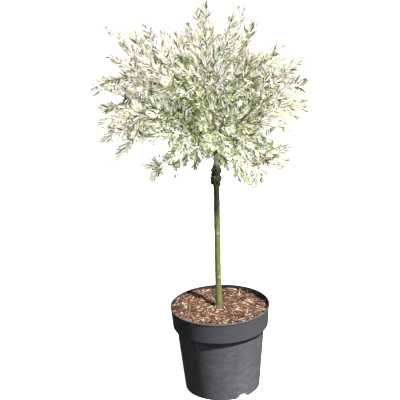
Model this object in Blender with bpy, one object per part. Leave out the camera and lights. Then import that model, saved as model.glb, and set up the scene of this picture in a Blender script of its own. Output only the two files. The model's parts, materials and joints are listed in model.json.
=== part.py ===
"""Dappled willow grafted on a stem as a small standard tree, standing in its nursery pot.

Metres, +Z up. The origin is the centre of the pot's flat underside. +X is the right-hand side and -Y
the front of the plant. The pot is turned, the stem and the boughs are tapering limbs, and each mass
of foliage is one solid of twigs and leaves that keeps to its own share of the crown.
"""

import math
import random
from dataclasses import dataclass

import bmesh
import bpy
import numpy as np
from mathutils.bvhtree import BVHTree

SEED = 28
CLEARANCE = 0.0003  # between two pieces that meet
WALL_GAP = 1.2 * CLEARANCE  # of the filling, as the pot's sides cut inside its round
ASIDE = (0.31, 0.87, 0.38)  # no twig runs this way, so it gives each one a sideways direction
GOLDEN_TURN = 137.5  # degrees from one leaf to the next

# Pot: outer sizes, then wall and foot
POT_HEIGHT = 0.248
RIM_RADIUS = 0.140
RIM_LIP = 0.0015  # the lip stands out this far from the band
RIM_LIP_HEIGHT = 0.0050
BAND_BOTTOM = 0.188
BAND_BOTTOM_RADIUS = 0.1347
BODY_TOP_RADIUS = 0.1233
FOOT_RADIUS = 0.1064
WALL = 0.0024
FLOOR_HEIGHT = 0.0135  # upper side of the raised drainage ring
PAD_RADIUS = 0.0700  # the flat middle of the underside
PAD_SLANT = 0.0006
BODY_SLOPE = (BODY_TOP_RADIUS - FOOT_RADIUS) / BAND_BOTTOM
LIP_BEVEL = 0.0010
RIM_THINNING = 0.0007
EDGE_BEVEL = 0.0022  # the band's lower edge turns in by this
EDGE_TOP = 0.0020  # above the band's bottom
EDGE_BOTTOM = 0.0014  # below it
LEDGE_DROP = 0.0044
INNER_STEP = (-0.0018, 0.0034)  # heights of the step inside, from the band's bottom
DRAIN_HOLES = 6
DRAIN_HOLE_RADIUS = 0.0060
DRAIN_HOLE_RING = 0.0880
DRAIN_HOLE_START = 30.0  # bearing of the first
DRAIN_HOLE_DEPTH = 0.012
NOTCH_BEARINGS = (-60.0, 60.0, 180.0)
NOTCH_FOOT = 0.034
NOTCH_TOP = 0.018
NOTCH_HEIGHT = 0.0095
NOTCH_REACH = 0.010  # of its cutter, to either side of the foot's edge
NOTCH_BELOW = 0.003
POT_STEPS = 36

# Filling
COMPOST_TOP = 0.2135
MULCH_LEVEL = 0.2385  # on the pot's axis
MULCH_SLOPE = -0.045  # it lies higher on the left
MULCH_LUMP = 0.0016
MULCH_WAVES = ((61.0, 1.3), (53.0, -0.6))  # waves across and in depth: turns in each metre, start
MULCH_CROSS_WAVE = (41.0, 97.0, 0.6)  # turns across and in depth, share
MULCH_RINGS = 4

# Stem, measured up from the compost
GROUND = COMPOST_TOP + CLEARANCE
FORK = 0.702
STEM_FOOT = (-0.0040, 0.0)
STEM_LEAN = 0.0180  # metres to the right for each metre of height
STEM_KICK = 0.0030  # the foot bends back to the right
KICK_HEIGHT = 0.050
STEM_SWAY = (0.0009, 19.0)  # size, turns in each metre
STEM_RADIUS = 0.0084
STEM_TAPER = 0.0006  # lost from the foot to the graft
SCION_RADIUS = 0.0054
HEAD_RADIUS = 0.0063
HEAD_BUMP = (0.697, 0.0080)  # height, spread
GRAFT = 0.662
GRAFT_STEP = 0.004
FLARE = 0.0034
FLARE_HEIGHT = 0.017
FLARE_LOBES = (3, 0.22, 0.4)  # count, share, turn
# Lobes of the graft knot: height, size, spread and the share of it that goes all round
KNOT_LOBES = ((0.619, 0.0054, 0.0095, 0.45), (0.643, 0.0028, 0.0110, 0.70))
FOOT_RING = 0.012  # above the mulch
STEM_RINGS = (0.285, 0.350, 0.420, 0.490, 0.550, 0.592)
KNOT_RINGS = 10
KNOT_RING_SPACING = 0.0085
HEAD_RINGS = (0.6845, 0.6900, 0.6960)
HEAD_BOTTOM = 0.64  # the boughs are cut clear of the stem from here to just over the fork
HEAD_OVERLAP = 0.0005
STEM_SIDES = 12
LIMB_SIDES = 6
LIMB_STEPS = 3
LIMB_WAVER = (9.0, 2.0)  # degrees that a bough's bearing wavers, and how fast

# Crown: its heart and half sizes, and how far its outermost shoots reach as seen from in front, as the
# angle up from the right at the heart (degrees) and the reach from there in the plane of the stem
HEART = (-0.030, 0.0, 0.800)
CROWN_HALF = (0.288, 0.275, 0.288)
VIEWPOINT = (-0.042, -2.800, 1.494)
OUTLINE_SHOOTS = (
    (-63, 0.204), (-57, 0.261), (-36, 0.264), (-23, 0.257), (-12, 0.244), (4, 0.283), (17, 0.293),
    (26, 0.296), (37, 0.278), (43, 0.243), (57, 0.272), (66, 0.291), (86, 0.296), (99, 0.236),
    (112, 0.234), (120, 0.283), (128, 0.285), (135, 0.332), (145, 0.283), (163, 0.296), (174, 0.262),
    (184, 0.268), (193, 0.274), (206, 0.262), (221, 0.206), (232, 0.222), (245, 0.180), (261, 0.148),
)
OUTLINE_NOTCHES = ((212, 0.150), (289, 0.112))  # gaps at the lower left, and at the graft
OUTLINE_SLACK = 1.005  # no leaf reaches further out than this share of the outline
OUTLINE_DEPTH = 0.035  # the outline's shoots lie within this of the stem's plane
FILL_SHOOTS = 96
FILL_REACH = (0.70, 1.0)  # share of the crown's own size
FILL_WAVER = 6.0  # degrees off its bearing
FILL_LIMIT = 0.95  # of the outline's reach
REACH_CUT = 0.02  # at each try
LEAST_REACH = 0.72  # a shoot that the outline would cut shorter than this is left out
LOWEST_RISE = -46.0

# Twigs and leaves, each leaf standing for a small spray
TWIG_RADIUS = 0.0026
SHOOT_RADIUS = 0.0020
TWIG_TIP_RADIUS = 0.0016
TWIG_STEPS = 2
TWIG_HANDLE = 0.40  # a twig keeps its first direction for this share of its reach
TWIG_TURN = 2.0  # radians that its sides are turned by at most
SHOOT_START = (0.07, 0.57)  # share along the stem where the outermost and the innermost shoot start
SHOOT_WAVER = 0.05
LEAF_LENGTH = (0.070, 0.088)
LEAF_WIDTH = 0.50  # of its length
END_LEAF = 0.88  # length of the leaf at a twig's end, of another's
END_LEAF_WIDTH = 0.40
END_LEAF_COVER = 0.97  # of its length, past the twig
END_LEAF_SINK = 0.0012
END_LEAF_RISE = 60.0
LEAF_THICKNESS = 0.030  # of its length
LEAF_SPACING = 0.021
LEAF_SPREAD = (32.0, 62.0)  # degrees away from the twig
LEAF_WIDEST = 0.42  # of its length from the root
LEAF_THICKEST = 0.14
LEAF_SINK = 0.0006  # past the middle of the twig
LEAF_LEAN = 0.3
LEAF_LEAST_WALK = 0.005  # no leaf sits closer than this to a twig's foot
LEAF_TRIES = 10
LEAF_SHRINK = 0.95  # at each try
LEAF_RETRY_TURN = 77.0
LEAF_CLEAR_SHARE = 0.4  # of its width is kept clear of the limbs to either side
SPACE_MARGIN = 0.0006
LIMB_MARGIN = 0.0012
MASS_CENTRE = 0.055  # from the bough's tip


@dataclass(frozen=True)
class Bough:
    """One bough: where it leaves its parent, its bearing and rise in degrees, and its size."""

    name: str
    parent: str
    along: float
    bearing: float
    rise: float
    rise_tip: float
    length: float
    radius: float
    radius_tip: float


# A bough of the stem leaves it at a height, any other at a share of its parent's length
BOUGHS = (
    Bough("leader", "stem", FORK, 195, 88, 84, 0.180, 0.0042, 0.0020),
    Bough("left", "stem", 0.6915, 184, 40, 26, 0.135, 0.0027, 0.0017),
    Bough("front_left", "stem", 0.6905, 238, 46, 38, 0.120, 0.0026, 0.0016),
    Bough("front_right", "stem", 0.6890, 300, 46, 38, 0.120, 0.0026, 0.0016),
    Bough("right", "stem", 0.6900, 356, 53, 45, 0.155, 0.0027, 0.0017),
    Bough("back_right", "stem", 0.6905, 48, 42, 30, 0.125, 0.0026, 0.0016),
    Bough("back_left", "stem", 0.6890, 122, 42, 30, 0.125, 0.0026, 0.0016),
    Bough("lower_left", "left", 0.34, 204, -14, -34, 0.088, 0.0017, 0.0013),
    Bough("lower_right", "right", 0.24, 344, 6, -26, 0.088, 0.0018, 0.0013),
    Bough("lower_back", "back_left", 0.36, 88, 6, -12, 0.088, 0.0017, 0.0013),
    Bough("front", "front_right", 0.34, 264, 52, 44, 0.092, 0.0018, 0.0013),
    Bough("back", "back_right", 0.34, 86, 40, 34, 0.092, 0.0018, 0.0013),
    Bough("top_left", "leader", 0.24, 176, 54, 46, 0.105, 0.0024, 0.0014),
    Bough("top_right", "leader", 0.36, 4, 60, 54, 0.100, 0.0023, 0.0014),
    Bough("top_back", "leader", 0.44, 92, 50, 46, 0.090, 0.0021, 0.0014),
    Bough("top_front", "leader", 0.52, 268, 50, 46, 0.090, 0.0020, 0.0014),
)

# Colour, roughness
PLASTIC = ((0.075, 0.080, 0.085), 0.60)
COMPOST = ((0.060, 0.045, 0.035), 0.95)
BARK_CHIP = ((0.36, 0.22, 0.15), 0.90)
STEM_BARK = ((0.30, 0.32, 0.14), 0.70)
BOUGH_BARK = ((0.12, 0.12, 0.07), 0.80)
FOLIAGE = ((0.62, 0.63, 0.48), 0.60)


def clear_scene():
    """Remove every object of the open scene."""
    for item in list(bpy.data.objects):
        bpy.data.objects.remove(item, do_unlink=True)


def make_material(name, finish):
    """Return a Principled material of one colour and roughness."""
    colour, roughness = finish
    made = bpy.data.materials.new(name)
    made.use_nodes = True
    shader = made.node_tree.nodes["Principled BSDF"]
    shader.inputs["Base Color"].default_value = (*colour, 1.0)
    shader.inputs["Roughness"].default_value = roughness
    shader.inputs["Metallic"].default_value = 0.0
    return made


def add_object(name, shape, material=None, collection=None):
    """Turn a bmesh into an object in the scene, or in the given collection."""
    bmesh.ops.recalc_face_normals(shape, faces=shape.faces)
    mesh = bpy.data.meshes.new(name)
    shape.to_mesh(mesh)
    shape.free()
    if material:
        mesh.materials.append(material)
    item = bpy.data.objects.new(name, mesh)
    (collection or bpy.context.scene.collection).objects.link(item)
    return item


def hide_guide(item):
    """Mark an object as a cutter that isn't part of the model."""
    item.hide_render = True
    item.display_type = "WIRE"
    return item


def round_shading(item, angle=35.0):
    """Shade smooth, with edges sharper than an angle in degrees kept."""
    item.data.shade_smooth()
    item.data.set_sharp_from_angle(angle=math.radians(angle))
    return item


def add_boolean(item, operation, cutter=None, collection=None, solver="EXACT"):
    """Add a Boolean with one object or one collection."""
    step = item.modifiers.new(operation.lower(), "BOOLEAN")
    step.operation = operation
    step.solver = solver
    if collection:
        step.operand_type = "COLLECTION"
        step.collection = collection
    else:
        step.object = cutter
    return step


def turned(profile, steps):
    """Closed solid turned round Z from (radius, height) points that run from axis to axis."""
    shape = bmesh.new()
    verts = [shape.verts.new((radius, 0.0, height)) for radius, height in profile]
    edges = [shape.edges.new(pair) for pair in zip(verts, verts[1:])]
    bmesh.ops.spin(
        shape, geom=verts + edges, axis=(0, 0, 1), cent=(0, 0, 0), angle=math.tau, steps=steps, use_merge=True
    )
    bmesh.ops.remove_doubles(shape, verts=shape.verts, dist=1e-6)
    return shape


def loft(rings, flat_faces=False):
    """Points and faces of a solid through rings of one count of points, capped; flat faces are triangles."""
    sides = len(rings[0])
    faces = [tuple(range(sides))[::-1]]
    for low in range(0, sides * (len(rings) - 1), sides):
        for here in range(sides):
            there = (here + 1) % sides
            corners = (low + here, low + there, low + sides + there, low + sides + here)
            faces += [corners[:3], (corners[0], *corners[2:])] if flat_faces else [corners]
    last = sides * (len(rings) - 1)
    faces.append(tuple(range(last, last + sides)))
    return np.concatenate([np.asarray(ring) for ring in rings]), faces


def solid_shape(points, faces):
    """Turn points and faces into a bmesh."""
    shape = bmesh.new()
    verts = [shape.verts.new(tuple(point)) for point in points]
    for face in faces:
        shape.faces.new([verts[corner] for corner in face])
    return shape


def lofted(rings):
    """Closed solid through rings of one count of points, with both ends capped."""
    return solid_shape(*loft(rings))


def unit(vector):
    """Return the vector at length 1."""
    return vector / np.linalg.norm(vector)


def heading(bearing, rise):
    """Unit vector at a bearing round Z from +X and a rise from level, both in degrees."""
    turn, lift = math.radians(bearing), math.radians(rise)
    return np.array((math.cos(turn) * math.cos(lift), math.sin(turn) * math.cos(lift), math.sin(lift)))


def tube_rings(points, radii, sides, first=None, turn=0.0):
    """Rings square to a path, carried along it without twist; `first` is the direction at its start."""
    tangents = np.gradient(points, axis=0)
    if first is not None:
        tangents[0] = first
    across = np.cross(tangents[0], ASIDE)
    angles = turn + math.tau * np.arange(sides) / sides
    rings = []
    for point, tangent, radius in zip(points, tangents, radii):
        tangent = unit(tangent)
        across = unit(across - tangent * (across @ tangent))
        other = np.cross(tangent, across)
        rings.append(point + radius * (np.outer(np.cos(angles), across) + np.outer(np.sin(angles), other)))
    return rings


def pot_inside():
    """Inner side of the pot from the axis to the rim, as (radius, height)."""
    return [
        (0.0, WALL),
        (PAD_RADIUS - WALL - PAD_SLANT, WALL),
        (PAD_RADIUS - WALL + PAD_SLANT, FLOOR_HEIGHT),
        (FOOT_RADIUS - WALL + BODY_SLOPE * FLOOR_HEIGHT, FLOOR_HEIGHT),
        (BODY_TOP_RADIUS - WALL, BAND_BOTTOM + INNER_STEP[0]),
        (BAND_BOTTOM_RADIUS - WALL, BAND_BOTTOM + INNER_STEP[1]),
        (RIM_RADIUS - RIM_LIP - WALL + RIM_THINNING, POT_HEIGHT),
    ]


def inside_radius(height):
    """Radius of the band's inner side at a height."""
    (low_radius, low), (high_radius, high) = pot_inside()[-2:]
    return low_radius + (high_radius - low_radius) * (height - low) / (high - low)


def build_pot(material):
    """Turned tub with an overhanging band, drain holes in a raised ring and notches in its foot."""
    under_floor = FLOOR_HEIGHT - WALL
    outside = [
        (RIM_RADIUS, POT_HEIGHT),
        (RIM_RADIUS, POT_HEIGHT - RIM_LIP_HEIGHT + LIP_BEVEL),
        (RIM_RADIUS - RIM_LIP, POT_HEIGHT - RIM_LIP_HEIGHT),
        (BAND_BOTTOM_RADIUS, BAND_BOTTOM + EDGE_TOP),
        (BAND_BOTTOM_RADIUS - EDGE_BEVEL, BAND_BOTTOM - EDGE_BOTTOM),
        (BODY_TOP_RADIUS, BAND_BOTTOM - LEDGE_DROP),
        (FOOT_RADIUS, 0.0),
        (FOOT_RADIUS - WALL, 0.0),
        (FOOT_RADIUS - WALL + BODY_SLOPE * under_floor, under_floor),
        (PAD_RADIUS + 2.0 * PAD_SLANT, under_floor),
        (PAD_RADIUS, 0.0),
        (0.0, 0.0),
    ]
    pot = add_object("pot", turned(pot_inside() + outside, POT_STEPS), material)
    cutters = bpy.data.collections.new("pot_cutters")
    bpy.context.scene.collection.children.link(cutters)
    for index in range(DRAIN_HOLES):
        place = DRAIN_HOLE_RING * heading(DRAIN_HOLE_START + index * 360.0 / DRAIN_HOLES, 0.0)
        hole = bmesh.new()
        bmesh.ops.create_cone(
            hole, segments=8, radius1=DRAIN_HOLE_RADIUS, radius2=DRAIN_HOLE_RADIUS, depth=DRAIN_HOLE_DEPTH,
            cap_ends=True
        )
        bmesh.ops.translate(hole, verts=hole.verts, vec=(place[0], place[1], FLOOR_HEIGHT))
        hide_guide(add_object(f"drain_hole_cutter_{index + 1}", hole, collection=cutters))
    for index, bearing in enumerate(NOTCH_BEARINGS):
        outward, across = heading(bearing, 0.0), heading(bearing + 90.0, 0.0)
        flare = (NOTCH_FOOT - NOTCH_TOP) / NOTCH_HEIGHT
        rings = []
        for reach in (FOOT_RADIUS - NOTCH_REACH, FOOT_RADIUS + NOTCH_REACH):
            corners = ((-0.5, -NOTCH_BELOW), (0.5, -NOTCH_BELOW), (0.5, NOTCH_HEIGHT), (-0.5, NOTCH_HEIGHT))
            rings.append([
                outward * reach + across * side * (NOTCH_TOP + flare * (NOTCH_HEIGHT - height))
                + np.array((0.0, 0.0, height))
                for side, height in corners
            ])
        hide_guide(add_object(f"notch_cutter_{index + 1}", lofted(rings), collection=cutters))
    add_boolean(pot, "DIFFERENCE", collection=cutters)
    return round_shading(pot)


def build_compost(material):
    """Filling of the pot up to a flat top, clear of the wall and the floor."""
    profile = [(max(radius - WALL_GAP, 0.0), height + CLEARANCE) for radius, height in pot_inside()[:-1]]
    profile.append((inside_radius(COMPOST_TOP) - WALL_GAP, COMPOST_TOP))
    profile.append((0.0, COMPOST_TOP))
    return round_shading(add_object("compost", turned(profile, POT_STEPS), material))


def mulch_height(x, y):
    """Top of the mulch: a tilted bed with shallow lumps."""
    (turns_across, start_across), (turns_deep, start_deep) = MULCH_WAVES
    cross_across, cross_deep, cross_share = MULCH_CROSS_WAVE
    lumps = math.sin(turns_across * x + start_across) * math.cos(turns_deep * y + start_deep)
    lumps += cross_share * math.sin(cross_across * x + cross_deep * y)
    return MULCH_LEVEL + MULCH_SLOPE * x + MULCH_LUMP * lumps


def build_mulch(material):
    """Layer of bark chips on the compost, with a hole for the foot of the stem."""
    angles = math.tau * np.arange(POT_STEPS) / POT_STEPS
    circle = np.stack((np.cos(angles), np.sin(angles)), axis=1)
    foot = np.array(stem_centre(GROUND)[:2])
    level = mulch_height(*foot)
    neck = np.array(stem_centre(level)[:2])

    def stem_hole(centre, height):
        widest = max(stem_radius(height, angle) for angle in angles)
        return centre + circle * (widest + 2.0 * CLEARANCE)

    rings = []
    low_rim = circle * (inside_radius(GROUND) - WALL_GAP)
    rings.append([(x, y, GROUND) for x, y in stem_hole(foot, GROUND)])
    rings.append([(x, y, GROUND) for x, y in low_rim])
    for ring in range(MULCH_RINGS):
        share = ring / (MULCH_RINGS - 1)
        inner = stem_hole(neck, level)
        row = []
        for start, way in zip(inner, circle):
            height = level
            for _ in range(3):  # the rim's radius and the height there depend on each other
                end = way * (inside_radius(height) - WALL_GAP)
                spot = end + (start - end) * share
                height = mulch_height(*spot) if share < 1.0 else level
            row.append((*spot, height))
        rings.append(row)
    shape = bmesh.new()
    loops = [[shape.verts.new(point) for point in ring] for ring in rings]
    for low, high in zip(loops, loops[1:] + loops[:1]):
        for here in range(POT_STEPS):
            there = (here + 1) % POT_STEPS
            shape.faces.new((low[here], low[there], high[there], high[here]))
    return round_shading(add_object("bark_mulch", shape, material), 50.0)


def stem_centre(height):
    """Axis of the stem at a height: a slight lean with a bent foot."""
    rise = height - GROUND
    kick = STEM_KICK * math.exp(-rise / KICK_HEIGHT)
    sway = STEM_SWAY[0] * math.sin(rise * STEM_SWAY[1])
    return np.array((STEM_FOOT[0] + STEM_LEAN * rise + kick, STEM_FOOT[1] + sway, height))


def bump(height, place, spread):
    """Smooth swelling: 1 at its place, fading to 0 over its spread."""
    return math.exp(-(((height - place) / spread) ** 2))


def stem_radius(height, angle):
    """Radius of the stem: taper, root flare, graft knot with its lobes, scion and swollen head."""
    share = min((height - GROUND) / (GRAFT - GROUND), 1.0)
    rootstock = STEM_RADIUS - STEM_TAPER * share
    grafted = 1.0 / (1.0 + math.exp(-(height - GRAFT) / GRAFT_STEP))
    radius = rootstock + (SCION_RADIUS - rootstock) * grafted
    lobes, lobe_share, lobe_turn = FLARE_LOBES
    flare = FLARE * math.exp(-(height - GROUND) / FLARE_HEIGHT)
    radius += flare * (1.0 + lobe_share * math.cos(lobes * angle + lobe_turn))
    for place, size, spread, all_round in KNOT_LOBES:
        radius += size * bump(height, place, spread) * (all_round + (1.0 - all_round) * math.cos(angle) ** 2)
    return radius + (HEAD_RADIUS - SCION_RADIUS) * bump(height, *HEAD_BUMP)


def stem_heights():
    """Heights of the stem's rings: close at the flare, the graft knot and the head."""
    mulch_top = mulch_height(*stem_centre(GROUND)[:2])
    knot = [STEM_RINGS[-1] + KNOT_RING_SPACING * (step + 1) for step in range(KNOT_RINGS)]
    return [GROUND, mulch_top, mulch_top + FOOT_RING, *STEM_RINGS, *knot, *HEAD_RINGS, FORK]


def stem_rings(growth=0.0, heights=None):
    """Level rings of the stem, grown outwards by a clearance where asked."""
    angles = math.tau * np.arange(STEM_SIDES) / STEM_SIDES
    rings = []
    for height in heights or stem_heights():
        centre = stem_centre(height)
        rings.append([
            centre + (stem_radius(height, angle) + growth) * np.array((math.cos(angle), math.sin(angle), 0.0))
            for angle in angles
        ])
    return rings


@dataclass
class Limb:
    """Path of a grown limb with its radii and the direction at its tip."""

    name: str
    points: np.ndarray
    radii: np.ndarray

    @property
    def tip(self):
        return self.points[-1]

    @property
    def ahead(self):
        return unit(self.points[-1] - self.points[-2])

    def at(self, share):
        place = share * (len(self.points) - 1)
        index = min(int(place), len(self.points) - 2)
        return self.points[index] + (place - index) * (self.points[index + 1] - self.points[index])


def bough_limb(size, grown):
    """Work out a bough's path from its parent's."""
    if size.parent == "stem":
        start = stem_centre(size.along)
        if size.along >= FORK:
            start = start + np.array((0.0, 0.0, CLEARANCE))
    else:
        start = grown[size.parent].at(size.along)
    points = [start]
    waver, pace = LIMB_WAVER
    for step in range(LIMB_STEPS):
        share = step / (LIMB_STEPS - 1)
        rise = size.rise + (size.rise_tip - size.rise) * share
        bearing = size.bearing + waver * share * math.sin(pace * share + size.bearing)
        points.append(points[-1] + heading(bearing, rise) * size.length / LIMB_STEPS)
    radii = np.linspace(size.radius, size.radius_tip, LIMB_STEPS + 1)
    return Limb(size.name, np.array(points), radii)


def build_stem(material):
    """The stem, from its flat cut on the compost to its fork."""
    return round_shading(add_object("stem", lofted(stem_rings()), material), 50.0)


def build_boughs(material):
    """Every bough as its own solid, cut to sit against the limb that carries it; returns their paths."""
    grown = {}
    for size in BOUGHS:
        grown[size.name] = bough_limb(size, grown)
    carried = {size.parent for size in BOUGHS}
    gap = CLEARANCE / math.cos(math.pi / LIMB_SIDES)
    guides = {
        name: hide_guide(add_object(f"{name}_clearance", lofted(tube_rings(
            limb.points, limb.radii + gap, LIMB_SIDES, first=limb.points[1] - limb.points[0]))))
        for name, limb in grown.items() if name in carried
    }
    head = [height for height in stem_heights() if height > HEAD_BOTTOM] + [FORK + HEAD_OVERLAP]
    guides["stem"] = hide_guide(add_object("stem_clearance", lofted(stem_rings(gap, head))))
    for size in BOUGHS:
        limb = grown[size.name]
        level_start = size.parent == "stem" and size.along >= FORK
        first = np.array((0.0, 0.0, 1.0)) if level_start else limb.points[1] - limb.points[0]
        bough = add_object(f"{size.name}_bough", lofted(tube_rings(
            limb.points, limb.radii, LIMB_SIDES, first=first)), material)
        if not level_start:
            add_boolean(bough, "DIFFERENCE", cutter=guides[size.parent])
        round_shading(bough, 50.0)
    return grown


def outline_reach(angle):
    """How far the crown reaches from its heart as seen from in front, at an angle in degrees."""
    ring = sorted((*OUTLINE_SHOOTS, *OUTLINE_NOTCHES))
    ring.append((ring[0][0] + 360.0, ring[0][1]))
    wrapped = (angle - ring[0][0]) % 360.0 + ring[0][0]
    return float(np.interp(wrapped, [item[0] for item in ring], [item[1] for item in ring]))


def seen_share(point):
    """How far out a point lies as seen from in front, as a share of the outline's reach there."""
    eye = np.array(VIEWPOINT)
    flat = eye + (point - eye) * (eye[1] / (eye[1] - point[1]))
    across, up = flat[0] - HEART[0], flat[2] - HEART[2]
    return math.hypot(across, up) / outline_reach(math.degrees(math.atan2(up, across)))


def crown_tips(chance):
    """Tips of all main shoots: those of the outline, then a golden-angle fill of the other sides."""
    heart, eye = np.array(HEART), np.array(VIEWPOINT)
    tips = []
    for angle, reach in OUTLINE_SHOOTS:
        turn = math.radians(angle)
        flat = heart + reach * np.array((math.cos(turn), 0.0, math.sin(turn)))
        depth = chance.uniform(-OUTLINE_DEPTH, OUTLINE_DEPTH)
        tips.append(eye + (flat - eye) * (1.0 - depth / eye[1]))
    golden = 180.0 * (3.0 - math.sqrt(5.0))
    lowest = math.sin(math.radians(LOWEST_RISE))
    for index in range(FILL_SHOOTS):
        share = (index + 0.5) / FILL_SHOOTS
        rise = math.degrees(math.asin(lowest + (1.0 - lowest) * share))
        way = heading(index * golden + chance.uniform(-FILL_WAVER, FILL_WAVER), rise)
        reach = chance.uniform(*FILL_REACH) / np.linalg.norm(way / np.array(CROWN_HALF))
        cut = 1.0
        while seen_share(heart + way * reach * cut) > FILL_LIMIT:
            cut -= REACH_CUT
        tip = heart + way * reach * cut
        if cut >= LEAST_REACH and abs(tip[1]) > OUTLINE_DEPTH:
            tips.append(tip)
    return np.array(tips)


class Space:
    """A mass's share of the crown: all that lies nearer its centre than any other, clear of the limbs."""

    def __init__(self, index, centres, limbs):
        self.own = centres[index]
        self.others = np.delete(centres, index, axis=0)
        self.starts = np.concatenate([limb.points[:-1] for limb in limbs])
        self.ends = np.concatenate([limb.points[1:] for limb in limbs])
        self.radii = np.concatenate([limb.radii[:-1] for limb in limbs])
        self.names = [limb.name for limb in limbs for _ in limb.points[1:]]

    def holds(self, points):
        """True where every point keeps the margin to each neighbour's share."""
        to_own = ((points - self.own) ** 2).sum(axis=1)[:, None]
        to_others = ((points[:, None, :] - self.others[None]) ** 2).sum(axis=2)
        between = np.linalg.norm(self.others - self.own, axis=1)[None]
        return bool(((to_others - to_own) / (2.0 * between) > SPACE_MARGIN).all())

    def clears(self, points, half_width, except_for=None):
        """True where a run of points of a given half width touches no limb."""
        dense = np.concatenate([np.linspace(a, b, 7) for a, b in zip(points, points[1:])])
        along = self.ends - self.starts
        offset = dense[:, None, :] - self.starts[None]
        share = np.clip((offset * along).sum(axis=2) / (along ** 2).sum(axis=1), 0.0, 1.0)
        near = np.linalg.norm(offset - share[..., None] * along, axis=2)
        free = near > self.radii[None] + half_width + LIMB_MARGIN
        if except_for:
            free |= np.array([name == except_for for name in self.names])[None]
        return bool(free.all())


def curve_points(start, handle, end, steps):
    """Points of a quadratic curve."""
    shares = np.linspace(0.0, 1.0, steps + 1)[:, None]
    return (1 - shares) ** 2 * start + 2 * shares * (1 - shares) * handle + shares ** 2 * end


# Root 0, tip 1, edges 2 and 3, sides of the midrib 4 and 5
LEAF_FACES = ((0, 2, 5), (0, 5, 3), (0, 3, 4), (0, 4, 2), (1, 5, 2), (1, 3, 5), (1, 4, 3), (1, 2, 4))


def leaf_corners(root, ahead, across, length, width):
    """Root, tip, two edges and the two sides of the midrib of one pointed leaf, thickest by its stalk."""
    middle, stalk = root + ahead * length * LEAF_WIDEST, root + ahead * length * LEAF_THICKEST
    half = across * width * length / 2.0
    thick = unit(np.cross(ahead, across)) * LEAF_THICKNESS * length / 2.0
    return np.array([root, root + ahead * length, middle - half, middle + half, stalk - thick, stalk + thick])


class Mass:
    """Twigs and leaves of one mass, each leaf touching nothing but its own twig."""

    def __init__(self, space, chance):
        self.space = space
        self.chance = chance
        self.solids = []
        self.trees = []
        self.leaf_count = 0

    def add(self, points, faces):
        """Keep one piece."""
        self.solids.append((points, faces))
        self.trees.append(BVHTree.FromPolygons(points.tolist(), faces))

    def is_free(self, points, faces, own):
        """True where a piece touches none but the one it grows from."""
        tree = BVHTree.FromPolygons(points.tolist(), faces)
        return not any(index != own and tree.overlap(other) for index, other in enumerate(self.trees))

    def add_leaf(self, spot, ahead, across, length, width, own):
        """Keep one leaf if it stays in the space and clear of all else."""
        corners = leaf_corners(spot - ahead * LEAF_SINK, ahead, across, length, width)
        if max(seen_share(corner) for corner in corners) > OUTLINE_SLACK or not self.space.holds(corners):
            return False
        if not self.space.clears(corners[:2], width * length * LEAF_CLEAR_SHARE):
            return False
        if not self.is_free(corners, LEAF_FACES, own):
            return False
        self.add(corners, LEAF_FACES)
        self.leaf_count += 1
        return True

    def grow(self, limb, tips):
        """Grow the stem from the bough's tip towards the tip straight ahead, and the rest off the stem."""
        start = limb.tip + limb.ahead * CLEARANCE
        spread = [math.acos(float(np.clip(unit(tip - start) @ limb.ahead, -1.0, 1.0))) for tip in tips]
        order = np.argsort(spread)
        stem = None
        shoots = []
        for index in order:
            tip = tips[index]
            length = self.chance.uniform(*LEAF_LENGTH) * END_LEAF
            if stem is None:
                base, ahead, radius, bare = start, limb.ahead, TWIG_RADIUS, limb.name
            else:
                ahead_share = 1.0 - spread[index] / spread[order[-1]]
                share = SHOOT_START[0] + (SHOOT_START[1] - SHOOT_START[0]) * ahead_share
                base, tangent = point_on(stem, share + self.chance.uniform(0.0, SHOOT_WAVER))
                ahead, radius, bare = unit(tangent + unit(tip - base)), SHOOT_RADIUS, None
            reach = float(np.linalg.norm(tip - base))
            handle = base + ahead * reach * TWIG_HANDLE
            last = unit(tip - handle)
            points = curve_points(base, handle, tip - last * length * END_LEAF_COVER, TWIG_STEPS)
            if not self.space.holds(points) or not self.space.clears(points, radius, except_for=bare):
                continue
            first = ahead if stem is None else points[1] - points[0]
            radii = np.linspace(radius, TWIG_TIP_RADIUS, len(points))
            turn = self.chance.uniform(0.0, TWIG_TURN)
            shoots.append((points, last, length, len(self.solids)))
            self.add(*loft(tube_rings(points, radii, 3, first=first, turn=turn), flat_faces=True))
            stem = points if stem is None else stem
        for points, last, length, own in shoots:
            self.dress(points, last, length, own)
        return len(shoots)

    def dress(self, points, last, end_length, own):
        """Leaves of one shoot: one at its end, the others in turn round it."""
        across = unit(np.cross(last, heading(self.chance.uniform(0.0, 360.0), END_LEAF_RISE)))
        self.add_leaf(points[-1] - last * END_LEAF_SINK, last, across, end_length, END_LEAF_WIDTH, own)
        total = float(np.linalg.norm(np.diff(points, axis=0), axis=1).sum())
        travelled = total - LEAF_SPACING * 0.5
        roll = self.chance.uniform(0.0, 360.0)
        while travelled > LEAF_LEAST_WALK:
            spot, tangent = point_on(points, travelled / total)
            base = unit(np.cross(tangent, ASIDE))
            length = self.chance.uniform(*LEAF_LENGTH)
            for _ in range(LEAF_TRIES):
                turn = math.radians(roll)
                side = math.cos(turn) * base + math.sin(turn) * np.cross(tangent, base)
                spread = math.radians(self.chance.uniform(*LEAF_SPREAD))
                ahead = tangent * math.cos(spread) + side * math.sin(spread)
                level = np.cross(ahead, tangent)
                across = unit(level + LEAF_LEAN * np.cross(ahead, level))
                if self.add_leaf(spot, ahead, across, length, LEAF_WIDTH, own):
                    break
                roll += LEAF_RETRY_TURN
                length *= LEAF_SHRINK
            roll += GOLDEN_TURN
            travelled -= LEAF_SPACING


def point_on(points, share):
    """Point and direction at a share of a run of points."""
    place = min(max(share, 0.0), 1.0) * (len(points) - 1)
    low = min(int(place), len(points) - 2)
    step = points[low + 1] - points[low]
    return points[low] + (place - low) * step, unit(step)


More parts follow.
